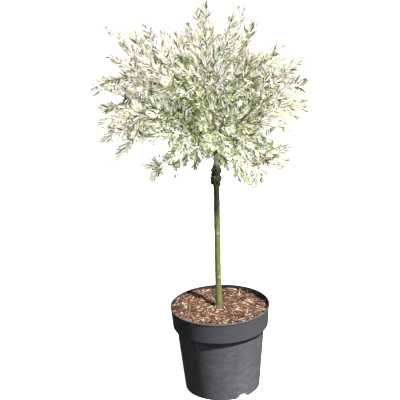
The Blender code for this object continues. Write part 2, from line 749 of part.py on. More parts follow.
def largest_body(shape):
    """Drop loose scraps and sealed hollows, so that one closed body is left."""
    left = set(shape.verts)
    bodies = []
    while left:
        body, edge = set(), [left.pop()]
        while edge:
            vert = edge.pop()
            body.add(vert)
            near = {link.other_vert(vert) for link in vert.link_edges} & left
            left -= near
            edge.extend(near)
        bodies.append(body)
    bodies.sort(key=len, reverse=True)
    for body in bodies[1:]:
        bmesh.ops.delete(shape, geom=list(body), context="VERTS")


def fuse_mass(name, solids, material):
    """Join a mass's twigs and leaves into one closed solid by a Boolean union on a collection."""
    pieces = bpy.data.collections.new(f"{name}_pieces")
    bpy.context.scene.collection.children.link(pieces)
    mass = add_object(name, solid_shape(*solids[0]), material)
    for index, (points, faces) in enumerate(solids[1:]):
        add_object(f"{name}_piece_{index}", solid_shape(points, faces), collection=pieces)
    for solver in ("EXACT", "MANIFOLD"):  # the second where the first leaves a faulty edge
        add_boolean(mass, "UNION", collection=pieces, solver=solver)
        bpy.context.view_layer.update()
        joined = bpy.data.meshes.new_from_object(mass.evaluated_get(bpy.context.evaluated_depsgraph_get()))
        mass.modifiers.clear()
        shape = bmesh.new()
        shape.from_mesh(joined)
        bmesh.ops.triangulate(shape, faces=shape.faces)
        largest_body(shape)
        if all(edge.is_manifold for edge in shape.edges):
            break
        shape.free()
    shape.to_mesh(joined)
    shape.free()
    mass.data = joined
    for item in list(pieces.objects):
        bpy.data.objects.remove(item, do_unlink=True)
    bpy.data.collections.remove(pieces)
    return mass


def build_crown(grown, material):
    """One mass of foliage at the tip of every bough."""
    chance = random.Random(SEED)
    tips = crown_tips(chance)
    centres = np.array([limb.tip + limb.ahead * MASS_CENTRE for limb in grown.values()])
    heights = np.array(stem_heights())
    stem = Limb("stem", np.array([stem_centre(height) for height in heights]),
                np.array([stem_radius(height, 0.0) for height in heights]))
    nearest = np.argmin(np.linalg.norm(tips[:, None] - centres[None], axis=2), axis=1)
    for index, limb in enumerate(grown.values()):
        space = Space(index, centres, [stem, *grown.values()])
        mass = Mass(space, chance)
        shoots = mass.grow(limb, tips[nearest == index])
        item = fuse_mass(f"{limb.name}_foliage", mass.solids, material)
        print(f"{item.name}: {shoots} shoots of {int((nearest == index).sum())}, {mass.leaf_count} leaves, "
              f"{len(item.data.polygons)} faces")


def main():
    """Build the pot, its filling, the stem, the boughs and the foliage."""
    clear_scene()
    build_pot(make_material("plastic", PLASTIC))
    build_compost(make_material("compost", COMPOST))
    build_mulch(make_material("bark_chip", BARK_CHIP))
    build_stem(make_material("stem_bark", STEM_BARK))
    grown = build_boughs(make_material("bough_bark", BOUGH_BARK))
    build_crown(grown, make_material("foliage", FOLIAGE))


main()
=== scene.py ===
"""Looks of a dappled willow grown as a small standard in a nursery pot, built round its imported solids.

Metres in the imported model's frame: +Z up, the origin in the middle of the pot's flat underside and the
front of the plant towards -Y. The sizes that these pieces share with the solids are named here again.
The crown grows from the boughs' tips by the solids' own seeded rule and is carried on to finer twigs,
and every leaf is a small folded blade. Its colour comes from the spray that it grows on.
"""

from __future__ import annotations

import json
import logging
import math
import random
from collections.abc import Iterator, Sequence
from dataclasses import dataclass, field
from enum import Enum

import bpy
import numpy as np
from mathutils import Matrix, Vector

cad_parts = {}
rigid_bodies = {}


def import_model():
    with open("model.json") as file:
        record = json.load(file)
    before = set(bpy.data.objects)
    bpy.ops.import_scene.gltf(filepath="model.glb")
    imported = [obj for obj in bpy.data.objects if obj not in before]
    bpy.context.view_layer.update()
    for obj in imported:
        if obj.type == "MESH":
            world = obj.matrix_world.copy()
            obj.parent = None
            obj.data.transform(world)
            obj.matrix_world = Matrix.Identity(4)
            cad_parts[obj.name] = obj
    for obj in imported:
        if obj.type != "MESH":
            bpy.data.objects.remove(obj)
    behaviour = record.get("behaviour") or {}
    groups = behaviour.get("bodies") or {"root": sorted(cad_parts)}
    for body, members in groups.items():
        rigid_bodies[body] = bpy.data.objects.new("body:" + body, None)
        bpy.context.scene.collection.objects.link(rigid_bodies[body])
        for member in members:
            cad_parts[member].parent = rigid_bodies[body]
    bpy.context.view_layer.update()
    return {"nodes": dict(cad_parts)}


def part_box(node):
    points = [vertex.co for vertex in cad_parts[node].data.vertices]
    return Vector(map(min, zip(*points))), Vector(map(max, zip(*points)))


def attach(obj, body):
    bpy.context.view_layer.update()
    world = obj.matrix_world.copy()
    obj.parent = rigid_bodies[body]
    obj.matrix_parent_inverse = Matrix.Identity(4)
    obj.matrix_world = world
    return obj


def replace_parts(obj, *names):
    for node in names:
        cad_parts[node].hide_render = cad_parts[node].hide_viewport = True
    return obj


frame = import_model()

Array = np.ndarray
Pair = tuple[float, float]
Triple = tuple[float, float, float]
Colour = Triple
Table = tuple[tuple[float, ...], ...]

BODY = "root"
SEED = 28
UP = np.array((0.0, 0.0, 1.0))
FLAT = (1.0, 1.0, 0.0)
ASIDE = np.array((0.31, 0.87, 0.38))  # a direction that no shoot keeps to
EYE = np.array((-0.042, -2.800, 1.494))  # where the photograph was taken from
HEART = np.array((-0.030, 0.0, 0.800))  # middle of the crown
CROWN_HALF = np.array((0.288, 0.275, 0.288))  # half sizes of the crown
GOLDEN_ANGLE = 180.0 * (3.0 - math.sqrt(5.0))
TWIG_TURN = 137.5  # degrees round a shoot from one twig to the next
MASSES = tuple(name for name in frame["nodes"] if name.endswith("_foliage"))
log = logging.getLogger("willow")


class Value:
    """Output of a shader node, with the arithmetic that adds Math nodes."""

    def __init__(self, tree: Tree, socket: bpy.types.NodeSocket) -> None:
        """Wrap an output socket of a tree."""
        self.tree = tree
        self.socket = socket

    def math(self, operation: str, first: Value | float, second: Value | float) -> Value:
        """Add a Math node that works on two values."""
        return self.tree.node("ShaderNodeMath", {"operation": operation}, {0: first, 1: second})

    def __add__(self, other: Value | float) -> Value:
        """Sum."""
        return self.math("ADD", self, other)

    def __radd__(self, other: float) -> Value:
        """Sum with a number on the left."""
        return self.math("ADD", other, self)

    def __sub__(self, other: Value | float) -> Value:
        """Difference."""
        return self.math("SUBTRACT", self, other)

    def __rsub__(self, other: float) -> Value:
        """Difference with a number on the left."""
        return self.math("SUBTRACT", other, self)

    def __mul__(self, other: Value | float) -> Value:
        """Product."""
        return self.math("MULTIPLY", self, other)

    def __rmul__(self, other: float) -> Value:
        """Product with a number on the left."""
        return self.math("MULTIPLY", other, self)

    def stepped(self, low: float, high: float, full: float = 1.0, level: float = 0.0) -> Value:
        """Ease from 0 to a share between two values.

        Args:
            low: value where the result is 0.
            high: value where it is full, which may be the lower one.
            full: the result there.
            level: what both values are told from.

        Returns:
            The eased value.
        """
        return self.tree.node(
            "ShaderNodeMapRange", {"interpolation_type": "SMOOTHSTEP"},
            {"Value": self, "From Min": level + low, "From Max": level + high, "To Max": full})


Input = Value | float | Sequence[float]


@dataclass(frozen=True)
class Noise:
    """Soft random pattern of about 0 to 1."""

    scale: float  # patches in each metre
    detail: float = 3.0  # how many finer patterns are added
    fineness: float = 0.5  # how strong those are
    stretch: Triple = (1.0, 1.0, 1.0)  # extra factor on the scale along each axis


class Tree:
    """Node tree of a material or world, with the few calls that dress it."""

    def __init__(self, owner: bpy.types.Material | bpy.types.World) -> None:
        """Open the owner's node tree.

        Args:
            owner: the material or world that the nodes are for.
        """
        owner.use_nodes = True
        self.owner = owner
        self.tree = owner.node_tree

    def node(self, kind: str, settings: dict[str, object], inputs: dict[str | int, Input],
             output: str | int = 0) -> Value:
        """Add one node.

        Args:
            kind: the node's type.
            settings: its settings.
            inputs: values or links of its sockets, by name or number.
            output: the socket that is wanted.

        Returns:
            That output.
        """
        made = self.tree.nodes.new(kind)
        for name, setting in settings.items():
            setattr(made, name, setting)
        for name, value in inputs.items():
            self.feed(made.inputs[name], value)
        return Value(self, made.outputs[output])

    def feed(self, socket: bpy.types.NodeSocket, value: Input) -> None:
        """Set or link a socket.

        Args:
            socket: the input socket.
            value: a number, a colour or vector, or another node's output.
        """
        if isinstance(value, Value):
            self.tree.links.new(value.socket, socket)
        elif isinstance(value, (int, float)):
            socket.default_value = value
        else:
            socket.default_value = (*value, 1.0) if socket.type == "RGBA" else tuple(value)

    def place(self, scale: Sequence[float] = (1.0, 1.0, 1.0)) -> Value:
        """Point on the object, scaled along each axis."""
        point = self.node("ShaderNodeTexCoord", {}, {}, "Object")
        return self.node("ShaderNodeVectorMath", {"operation": "MULTIPLY"}, {0: point, 1: scale})

    def noise(self, kind: Noise) -> Value:
        """Random pattern on the object.

        Args:
            kind: its scale, detail and stretch.

        Returns:
            The pattern.
        """
        return self.node("ShaderNodeTexNoise", {}, {
            "Vector": self.place(kind.stretch), "Scale": kind.scale, "Detail": kind.detail,
            "Roughness": kind.fineness})

    def mix(self, share: Value | float, first: Input, second: Input, blend: str = "MIX") -> Value:
        """Blend a share of a second colour into a first."""
        return self.node("ShaderNodeMix", {"data_type": "RGBA", "blend_type": blend},
                         {0: share, 6: first, 7: second}, 2)

    def bump(self, height: Value, distance: float, strength: float = 1.0) -> Value:
        """Normal bent by a pattern that stands up by a distance."""
        return self.node("ShaderNodeBump", {}, {"Height": height, "Distance": distance, "Strength": strength})


class Surface(Tree):
    """Principled material of one finish."""

    patch_core: float = 0.45  # share of a soft patch's reach over which it is full

    def __init__(self, name: str) -> None:
        """Make the material of a name."""
        super().__init__(bpy.data.materials.new(name))
        self.shader = self.tree.nodes["Principled BSDF"]

    def height(self) -> Value:
        """Height on the object."""
        return self.node("ShaderNodeSeparateXYZ", {}, {0: self.place()}, "Z")

    def near(self, spot: Sequence[float], reach: float, full: float) -> Value:
        """Mask of a soft round patch.

        Args:
            spot: its middle.
            reach: its radius.
            full: its value in the middle.

        Returns:
            The value there, 0 outside.
        """
        away = self.node(
            "ShaderNodeVectorMath", {"operation": "DISTANCE"}, {0: self.place(), 1: spot}, "Value")
        return away.stepped(reach, reach * self.patch_core, full)

    def let_through(self, colour: Colour, share: float) -> None:
        """Let light shine through a thin blade.

        Args:
            colour: colour that it takes on.
            share: share of the light.
        """
        through = self.node("ShaderNodeBsdfTranslucent", {}, {"Color": colour})
        blended = self.node(
            "ShaderNodeMixShader", {}, {0: share, 1: Value(self, self.shader.outputs[0]), 2: through})
        self.feed(self.tree.nodes["Material Output"].inputs["Surface"], blended)

    def dress(self, colour: Input, roughness: Input, normal: Value | None = None,
              specular: float = 0.5) -> bpy.types.Material:
        """Feed the shader.

        Args:
            colour: base colour.
            roughness: its roughness.
            normal: bent normal, if any.
            specular: specular level, the same all over.

        Returns:
            The finished material.
        """
        self.feed(self.shader.inputs["Base Color"], colour)
        self.feed(self.shader.inputs["Roughness"], roughness)
        self.shader.inputs["Specular IOR Level"].default_value = specular
        if normal is not None:
            self.feed(self.shader.inputs["Normal"], normal)
        return self.owner


@dataclass(frozen=True)
class Mottled:
    """Finish of two colours that follow one pattern, such as fine bark."""

    name: str
    plain: Colour
    pale: Colour
    pattern: Noise = Noise(240.0, 4.0, 0.6)
    edges: Pair = (0.34, 0.68)  # where the pale colour begins and is full
    pale_share: float = 1.0
    roughness: Pair = (0.58, 0.20)  # the least, and what the pattern adds
    relief: float = 0.0005  # how high the bump stands
    specular: float = 0.5

    def colour(self, skin: Surface, pattern: Value) -> Value:
        """Mix the two colours by the pattern."""
        return skin.mix(pattern.stepped(*self.edges, self.pale_share), self.plain, self.pale)

    def bumps(self, skin: Surface, pattern: Value) -> Value:
        """Pattern that the bump follows."""
        return pattern

    def surface(self) -> Surface:
        """Make the dressed surface.

        Returns:
            The surface.
        """
        skin = Surface(self.name)
        pattern = skin.noise(self.pattern)
        normal = skin.bump(self.bumps(skin, pattern), self.relief)
        least, added = self.roughness
        skin.dress(self.colour(skin, pattern), least + pattern * added, normal, self.specular)
        return skin

    def material(self) -> bpy.types.Material:
        """Make the material."""
        return self.surface().owner


@dataclass(frozen=True)
class TubPlastic:
    """Dull charcoal plastic of the pot, dusty and scuffed.

    Heights come in pairs, where a change begins and where it is full: those of the wear from the rim, those
    of the band from its lower edge.
    """

    plain: Colour = (0.096, 0.096, 0.107)
    dark: Colour = (0.086, 0.087, 0.096)
    dust: Colour = (0.163, 0.166, 0.175)
    band: Colour = (0.058, 0.059, 0.066)
    wear: Colour = (0.180, 0.182, 0.178)
    inside: Mottled = Mottled(  # much darker than the outside
        "tub_inside", (0.010, 0.010, 0.011), (0.040, 0.034, 0.028), Noise(45.0, 5.0, 0.65), (0.40, 0.75),
        roughness=(0.55, 0.25), relief=0.0003, specular=0.25)
    clouds: Noise = Noise(16.0, 4.0, 0.6)
    brushing: Noise = Noise(42.0, 5.0, 0.65, (1.0, 1.0, 2.0))
    grain: Noise = Noise(420.0, 3.0, 0.7)
    scuffs: Noise = Noise(60.0)
    grain_share: float = 0.5
    foot_dust: float = 0.12  # more dust at the foot than at the rim
    dust_edges: Pair = (0.62, 1.12)
    dust_share: float = 0.75
    band_rise: Pair = (-0.002, 0.004)
    band_share: float = 0.75
    wear_rise: Pair = (-0.0035, -0.0005)
    wear_share: float = 0.25
    cloud_edges: Pair = (0.35, 0.70)
    scuff_edges: Pair = (0.30, 0.75)
    brushed_relief: float = 0.6  # share of the brushing in the bump
    relief: Pair = (0.00025, 0.55)  # the bump's height and strength
    roughness: Pair = (0.50, 0.16)  # the least, and what the clouds add
    specular: float = 0.35

    def material(self, rim_height: float, band_bottom: float) -> bpy.types.Material:
        """Make the material of the outside.

        Args:
            rim_height: height of the pot's rim.
            band_bottom: height of the lower edge of its band, which is less dusty.

        Returns:
            The material.
        """
        skin = Surface("tub_plastic")
        height, clouds = skin.height(), skin.noise(self.clouds)
        brushed, grain = skin.noise(self.brushing), skin.noise(self.grain)
        foot = (1.0 - height.stepped(0.0, rim_height)) * self.foot_dust
        dusty = (brushed + grain * self.grain_share + foot).stepped(*self.dust_edges, self.dust_share)
        scuffed = skin.noise(self.scuffs).stepped(*self.scuff_edges, self.wear_share)
        worn = height.stepped(*self.wear_rise, level=rim_height) * scuffed
        colour = skin.mix(clouds.stepped(*self.cloud_edges), self.dark, self.plain)
        colour = skin.mix(dusty, colour, self.dust)
        colour = skin.mix(height.stepped(*self.band_rise, self.band_share, band_bottom), colour, self.band)
        colour = skin.mix(worn, colour, self.wear)
        normal = skin.bump(grain + brushed * self.brushed_relief, *self.relief)
        least, added = self.roughness
        return skin.dress(colour, least + clouds * added, normal, self.specular)


@dataclass(frozen=True)
class Earth(Mottled):
    """Dark moist compost."""

    plain: Colour = (0.012, 0.008, 0.006)
    pale: Colour = (0.060, 0.036, 0.024)
    pattern: Noise = Noise(180.0, 6.0, 0.7)
    edges: Pair = (0.35, 0.75)
    roughness: Pair = (0.85, 0.10)
    relief: float = 0.003


@dataclass(frozen=True)
class ChipWood(Mottled):
    """Shredded bark and wood of one tint, with dark stains."""

    share: float = 1.0  # of all chips
    pattern: Noise = Noise(260.0, 5.0, 0.65, (1.0, 1.0, 3.0))
    edges: Pair = (0.32, 0.70)
    roughness: Pair = (0.74, 0.20)
    relief: float = 0.0006
    stain: Colour = (0.30, 0.24, 0.20)
    stains: Noise = Noise(70.0, 2.0)
    stain_edges: Pair = (0.52, 0.78)
    stain_share: float = 0.45

    def colour(self, skin: Surface, pattern: Value) -> Value:
        """Mix the two colours and stain them."""
        stained = skin.noise(self.stains).stepped(*self.stain_edges, self.stain_share)
        return skin.mix(stained, super().colour(skin, pattern), self.stain, "MULTIPLY")


CHIP_WOODS = (
    ChipWood("chip_russet", (0.094, 0.039, 0.024), (0.206, 0.091, 0.057), share=0.34),
    ChipWood("chip_tan", (0.190, 0.099, 0.060), (0.350, 0.204, 0.129), share=0.23),
    ChipWood("chip_straw", (0.460, 0.296, 0.174), (0.725, 0.525, 0.360), share=0.14),
    ChipWood("chip_umber", (0.017, 0.009, 0.006), (0.048, 0.025, 0.016), share=0.29),
)


@dataclass(frozen=True)
class StemBark:
    """Smooth olive bark of the clear stem, browner and rougher towards the graft.

    Heights come in pairs, where a change begins and where it is full: those of the soil from the stem's
    foot, the others from the graft.
    """

    olive: Colour = (0.138, 0.161, 0.041)
    yellow: Colour = (0.220, 0.220, 0.078)
    shade: Colour = (0.066, 0.079, 0.024)
    brown: Colour = (0.020, 0.022, 0.008)
    grey: Colour = (0.042, 0.045, 0.018)  # of the streaks in the brown
    knot: Colour = (0.040, 0.032, 0.021)
    scion: Colour = (0.230, 0.216, 0.176)  # young bark above the knot
    scar: Colour = (0.460, 0.430, 0.290)
    soil: Colour = (0.100, 0.090, 0.040)
    streaks: Noise = Noise(150.0, 5.0, 0.6, (1.0, 1.0, 0.07))
    patches: Noise = Noise(26.0, 3.0, 0.5, (1.0, 1.0, 0.5))
    pores: Noise = Noise(210.0, 2.0, 0.5, (1.0, 1.0, 2.2))
    crags: Noise = Noise(230.0, 4.0, 0.65)
    olive_edges: Pair = (0.30, 0.68)
    grey_edges: Pair = (0.38, 0.70)
    pore_edges: Pair = (0.66, 0.74)
    crag_edges: Pair = (0.62, 0.42)
    yellow_edges: Pair = (0.42, 0.66)
    yellow_share: float = 0.70
    scar_reach: float = 0.0055
    scar_share: float = 0.45
    brown_sway: float = 0.11  # how far the streaks carry the brown down
    brown_rise: Pair = (-0.106, -0.062)
    knot_foot: Pair = (-0.068, -0.052)
    knot_head: Pair = (0.004, -0.018)
    scion_rise: Pair = (-0.016, 0.004)
    scion_share: float = 0.75
    soil_fall: Pair = (0.130, 0.024)
    soil_share: float = 0.42
    pore_relief: float = 0.4  # share of the pores in the bump
    relief: float = 0.0007
    roughness: Pair = (0.46, 0.22)  # the least, and what the streaks add
    specular: float = 0.4

    def material(self, ground: float, graft: float, scars: Sequence[Array]) -> bpy.types.Material:
        """Make the material.

        Args:
            ground: height of the stem's foot.
            graft: height of the graft.
            scars: middles of the pale bud scars on the bark.

        Returns:
            The material.
        """
        bark = Surface("stem_bark")
        height, streaks = bark.height(), bark.noise(self.streaks)
        pores = bark.noise(self.pores).stepped(*self.pore_edges)
        patches = bark.noise(self.patches).stepped(*self.yellow_edges, self.yellow_share)
        colour = bark.mix(streaks.stepped(*self.olive_edges), self.shade, self.olive)
        colour = bark.mix(patches, colour, self.yellow)
        for scar in scars:
            colour = bark.mix(bark.near(scar, self.scar_reach, self.scar_share), colour, self.scar)
        colour = bark.mix(pores * self.scar_share, colour, self.scar)
        browned = (height + streaks * self.brown_sway).stepped(*self.brown_rise, level=graft)
        brown = bark.mix(streaks.stepped(*self.grey_edges), self.brown, self.grey)
        colour = bark.mix(browned, colour, brown)
        knotty = height.stepped(*self.knot_foot, level=graft) * height.stepped(*self.knot_head, level=graft)
        crags = bark.noise(self.crags).stepped(*self.crag_edges)
        colour = bark.mix(knotty * crags, colour, self.knot)
        colour = bark.mix(height.stepped(*self.scion_rise, self.scion_share, graft), colour, self.scion)
        colour = bark.mix(height.stepped(*self.soil_fall, self.soil_share, ground), colour, self.soil)
        normal = bark.bump(streaks + pores * self.pore_relief, self.relief)
        least, added = self.roughness
        return bark.dress(colour, least + streaks * added, normal, self.specular)


@dataclass(frozen=True)
class LeafSkin(Mottled):
    """Thin blade with a fine dapple and veins, which light shines through."""

    pattern: Noise = Noise(230.0, 3.0, 0.6)
    edges: Pair = (0.47, 0.57)
    pale_share: float = 0.85
    roughness: Pair = (0.46, 0.16)
    relief: float = 0.0002
    specular: float = 0.4
    veins: Noise = Noise(900.0, 2.0)
    light_through: float = 0.44  # share of the light that the blade lets through
    tinge: Colour = (1.0, 1.0, 0.95)  # what it does to the light's colour on its way

    def bumps(self, skin: Surface, pattern: Value) -> Value:
        """Pattern of the veins."""
        return skin.noise(self.veins)

    def surface(self) -> Surface:
        """Make the dressed surface, with light shining through it.

        Returns:
            The surface.
        """
        skin = super().surface()
        through = tuple(0.5 * (a + b) * tinge for a, b, tinge in zip(self.plain, self.pale, self.tinge))
        skin.let_through(through, self.light_through)
        return skin


class Tint(Enum):
    """Colours that the leaves are dealt, each with its own pale dapple."""

    SALMON = ((0.620, 0.485, 0.425), (0.815, 0.735, 0.695))
    BLUSH = ((0.808, 0.748, 0.716), (0.896, 0.867, 0.852))
    BUTTER = ((0.790, 0.751, 0.490), (0.890, 0.880, 0.752))
    IVORY = ((0.884, 0.878, 0.861), (0.938, 0.936, 0.930))
    PEARL = ((0.800, 0.782, 0.735), (0.895, 0.883, 0.855))
    MIST = ((0.592, 0.590, 0.518), (0.875, 0.872, 0.845))
    SAGE = ((0.240, 0.243, 0.162), (0.700, 0.696, 0.622))
    SPRING = ((0.205, 0.285, 0.058), (0.595, 0.668, 0.355))
    MOSS = ((0.050, 0.063, 0.020), (0.232, 0.266, 0.126))
    # near-black leaves: painted shade, standing for the dark shadows between the leaves
    SHADE = ((0.022, 0.028, 0.010), (0.100, 0.120, 0.056))


class Spray(Enum):
    """Kinds of sprays: share of each tint among the leaves of one."""

    ROSE = (
        (Tint.BLUSH, 0.33), (Tint.IVORY, 0.07), (Tint.PEARL, 0.16), (Tint.SALMON, 0.24),
        (Tint.SAGE, 0.09), (Tint.MOSS, 0.06), (Tint.SHADE, 0.05))
    CREAM = (
        (Tint.IVORY, 0.35), (Tint.PEARL, 0.23), (Tint.BUTTER, 0.06), (Tint.MIST, 0.12),
        (Tint.SAGE, 0.08), (Tint.MOSS, 0.09), (Tint.SHADE, 0.07))
    BUTTER = (
        (Tint.BUTTER, 0.47), (Tint.IVORY, 0.14), (Tint.PEARL, 0.13), (Tint.SPRING, 0.09),
        (Tint.SAGE, 0.04), (Tint.MOSS, 0.08), (Tint.SHADE, 0.05))
    MIST = (
        (Tint.IVORY, 0.26), (Tint.PEARL, 0.16), (Tint.MIST, 0.19), (Tint.SAGE, 0.09),
        (Tint.SPRING, 0.03), (Tint.MOSS, 0.14), (Tint.SHADE, 0.13))
    GREEN = (
        (Tint.SPRING, 0.39), (Tint.IVORY, 0.05), (Tint.PEARL, 0.12), (Tint.BUTTER, 0.06),
        (Tint.MOSS, 0.17), (Tint.SHADE, 0.21))


# The deeper zones hold darker, greener sprays: partly the older leaves' own green, partly painted shade of
# the crown's inside.
class Zone(Enum):
    """Zones of the crown: share of each kind among the sprays of one."""

    UPPER_TUFTS = ((Spray.ROSE, 0.56), (Spray.CREAM, 0.34), (Spray.BUTTER, 0.05), (Spray.MIST, 0.05))
    LOWER_TUFTS = ((Spray.CREAM, 0.40), (Spray.BUTTER, 0.36), (Spray.ROSE, 0.12), (Spray.MIST, 0.12))
    MIDDLE_TUFTS = (
        (Spray.CREAM, 0.25), (Spray.MIST, 0.16), (Spray.GREEN, 0.40), (Spray.ROSE, 0.06),
        (Spray.BUTTER, 0.13))
    OUTER = (
        (Spray.CREAM, 0.50), (Spray.MIST, 0.32), (Spray.GREEN, 0.05), (Spray.ROSE, 0.10),
        (Spray.BUTTER, 0.03))
    OLDER = ((Spray.MIST, 0.54), (Spray.GREEN, 0.24), (Spray.CREAM, 0.22))
    MIDDLE = ((Spray.GREEN, 0.62), (Spray.MIST, 0.21), (Spray.CREAM, 0.17))
    INNER = ((Spray.GREEN, 0.78), (Spray.MIST, 0.12), (Spray.CREAM, 0.10))


def deal(shares: Sequence[tuple[Enum, float]], chance: random.Random) -> Enum:
    """Draw one of some kinds, each with its share."""
    kinds, weights = zip(*shares)
    return chance.choices(kinds, weights)[0]


def unit(vectors: Array) -> Array:
    """Bring one vector, or each of many, to length 1."""
    return vectors / np.linalg.norm(vectors, axis=-1, keepdims=True)


def heading(bearing: float, rise: float) -> Array:
    """Unit vector of a bearing round Z from +X and a rise from level, both in degrees."""
    turn, lift = math.radians(bearing), math.radians(rise)
    return np.array((math.cos(turn) * math.cos(lift), math.sin(turn) * math.cos(lift), math.sin(lift)))


def leaving(tangents: Array, roll: float | Array, spread: float | Array) -> Array:
    """Unit vector that leads away from a tangent, or one for each of many.

    Args:
        tangents: unit vectors that they leave.
        roll: degrees round the tangent.
        spread: degrees away from it.

    Returns:
        The same shape as the tangents.
    """
    turn, away = np.radians(roll)[..., None], np.radians(spread)[..., None]
    side = unit(np.cross(tangents, ASIDE))
    side = np.cos(turn) * side + np.sin(turn) * np.cross(tangents, side)
    return tangents * np.cos(away) + side * np.sin(away)


def round_angles(count: int) -> Array:
    """Angles in radians of points spread evenly round a circle."""
    return math.tau * np.arange(count) / count


def circle(count: int) -> Array:
    """Points spread evenly round the level unit circle."""
    angles = round_angles(count)
    return np.stack((np.cos(angles), np.sin(angles), 0.0 * angles), axis=1)


def bell(values: float | Array, middle: float, spread: float) -> float | Array:
    """Bell curve, 1 in the middle."""
    return np.exp(-(((values - middle) / spread) ** 2))


def bezier(start: Array, handle: Array, end: Array, steps: int) -> Array:
    """Points of a quadratic curve that a handle pulls, one row for each."""
    shares = np.linspace(0.0, 1.0, steps + 1)[:, None]
    return (1 - shares) ** 2 * start + 2 * shares * (1 - shares) * handle + shares ** 2 * end


def smoothed(points: Array, steps: int) -> Array:
    """Smooth curve through a few points.

    Args:
        points: the points that it passes.
        steps: stretches between each two of them.

    Returns:
        One row for each point of the curve.
    """
    ends = np.concatenate([[2 * points[0] - points[1]], points, [2 * points[-1] - points[-2]]])
    rows = []
    for index in range(1, len(ends) - 2):
        before, start, end, after = ends[index - 1:index + 3]
        for share in np.arange(steps) / steps:
            rows.append(0.5 * (
                2 * start + (end - before) * share
                + (2 * before - 5 * start + 4 * end - after) * share ** 2
                + (3 * start - before - 3 * end + after) * share ** 3))
    return np.array([*rows, points[-1]])


def point_on(points: Array, share: float) -> tuple[Array, Array]:
    """Point and direction on a run of points.

    Args:
        points: the run.
        share: from 0 at its start to 1 at its end.

    Returns:
        The point and the unit direction there.
    """
    place = min(max(share, 0.0), 1.0) * (len(points) - 1)
    low = min(int(place), len(points) - 2)
    step = points[low + 1] - points[low]
    return points[low] + (place - low) * step, unit(step)


def placed(name: str, data: bpy.types.ID) -> bpy.types.Object:
    """Put an object into the scene.

    Args:
        name: its name.
        data: its mesh, camera or light.

    Returns:
        The object.
    """
    made = bpy.data.objects.new(name, data)
    bpy.context.scene.collection.objects.link(made)
    return made


@dataclass
class Shapes:
    """Points and faces of one piece, gathered from many small shapes."""

    points: list[Array] = field(default_factory=list)
    faces: list[list[int]] = field(default_factory=list)
    count: int = 0

    def add(self, points: Array, *faces: Array) -> None:
        """Gather one shape.

        Args:
            points: its points.
            faces: arrays of its faces, each of one number of corners.
        """
        self.points.append(points)
        for group in faces:
            self.faces.extend((group + self.count).tolist())
        self.count += len(points)

    def add_tube(self, path: Array, radii: Array, sides: int, relief: Array | None = None) -> None:
        """Gather a closed tube.

        Args:
            path: its centre line.
            radii: its radius at each point.
            sides: corners of its rings.
            relief: factor on the radius, one row for each ring.
        """
        tangents = unit(np.gradient(path, axis=0))
        across = unit(np.cross(tangents[0], ASIDE))
        angles = round_angles(sides)
        relief = np.ones((len(path), sides)) if relief is None else relief
        rings = []
        for point, tangent, radius, factors in zip(path, tangents, radii, relief):
            across = unit(across - tangent * (across @ tangent))
            other = np.cross(tangent, across)
            rings.append(point + (radius * factors)[:, None] * (
                np.outer(np.cos(angles), across) + np.outer(np.sin(angles), other)))
        self.add_rings(np.array(rings), np.stack((path[0], path[-1] + tangents[-1] * radii[-1])))

    def add_rings(self, rings: Array, ends: Array) -> None:
        """Gather a closed skin through rings.

        Args:
            rings: array of rings, points and coordinates.
            ends: the points that close the first and the last ring.
        """
        count, sides = rings.shape[:2]
        here = np.arange(sides)
        there = (here + 1) % sides
        low = (np.arange(count - 1) * sides)[:, None]
        quads = np.stack((low + here, low + there, low + sides + there, low + sides + here), axis=-1)
        first, last = count * sides, (count - 1) * sides
        caps = np.concatenate((
            np.stack((there, here, np.full(sides, first)), axis=1),
            np.stack((last + here, last + there, np.full(sides, first + 1)), axis=1)))
        self.add(np.concatenate((rings.reshape(-1, 3), ends)), quads.reshape(-1, 4), caps)

    def bare(self, name: str) -> bpy.types.Object:
        """Make an object that isn't dressed.

        Args:
            name: its name.

        Returns:
            The object.
        """
        mesh = bpy.data.meshes.new(name)
        mesh.from_pydata(np.concatenate(self.points).tolist(), [], self.faces)
        return placed(name, mesh)

    def piece(self, name: str, material: bpy.types.Material, slot: str,
              sharp: float | None = None) -> bpy.types.Object:
        """Make the piece, which rides on the plant's body.

        Args:
            name: the piece's name.
            material: its finish.
            slot: the record's material slot; not used.
            sharp: angle in degrees over which an edge stays sharp, or None for smooth all over.

        Returns:
            The piece.
        """
        made = self.bare(name)
        made.data.materials.append(material)
        made.data.shade_smooth()
        if sharp is not None:
            made.data.set_sharp_from_angle(angle=math.radians(sharp))
        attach(made, BODY)
        log.info("%s: %d triangles", name, sum(len(face) - 2 for face in self.faces))
        return made


@dataclass(frozen=True)
class Relief:
    """Seeded lumps made of a few plane waves."""

    seed: int
    waves: int
    length: float  # of the longest wave, in metres
    stretch: float = 1.0  # waves are this much longer along Z
    hurry: float = 2.2  # how much quicker the last wave is than the first

    def at(self, points: Array) -> Array:
        """Height of the lumps.

        Args:
            points: where it is wanted.

        Returns:
            About -1 to 1 for each point.
        """
        chance = np.random.default_rng(self.seed)
        total = np.zeros(points.shape[:-1])
        for index in range(self.waves):
            quickness = 1.0 + self.hurry * index / self.waves
            way = unit(chance.normal(size=3)) * math.tau * quickness / self.length
            way[2] /= self.stretch
            total += np.sin(points @ way + chance.uniform(0.0, math.tau))
        return total / math.sqrt(self.waves / 2.0)


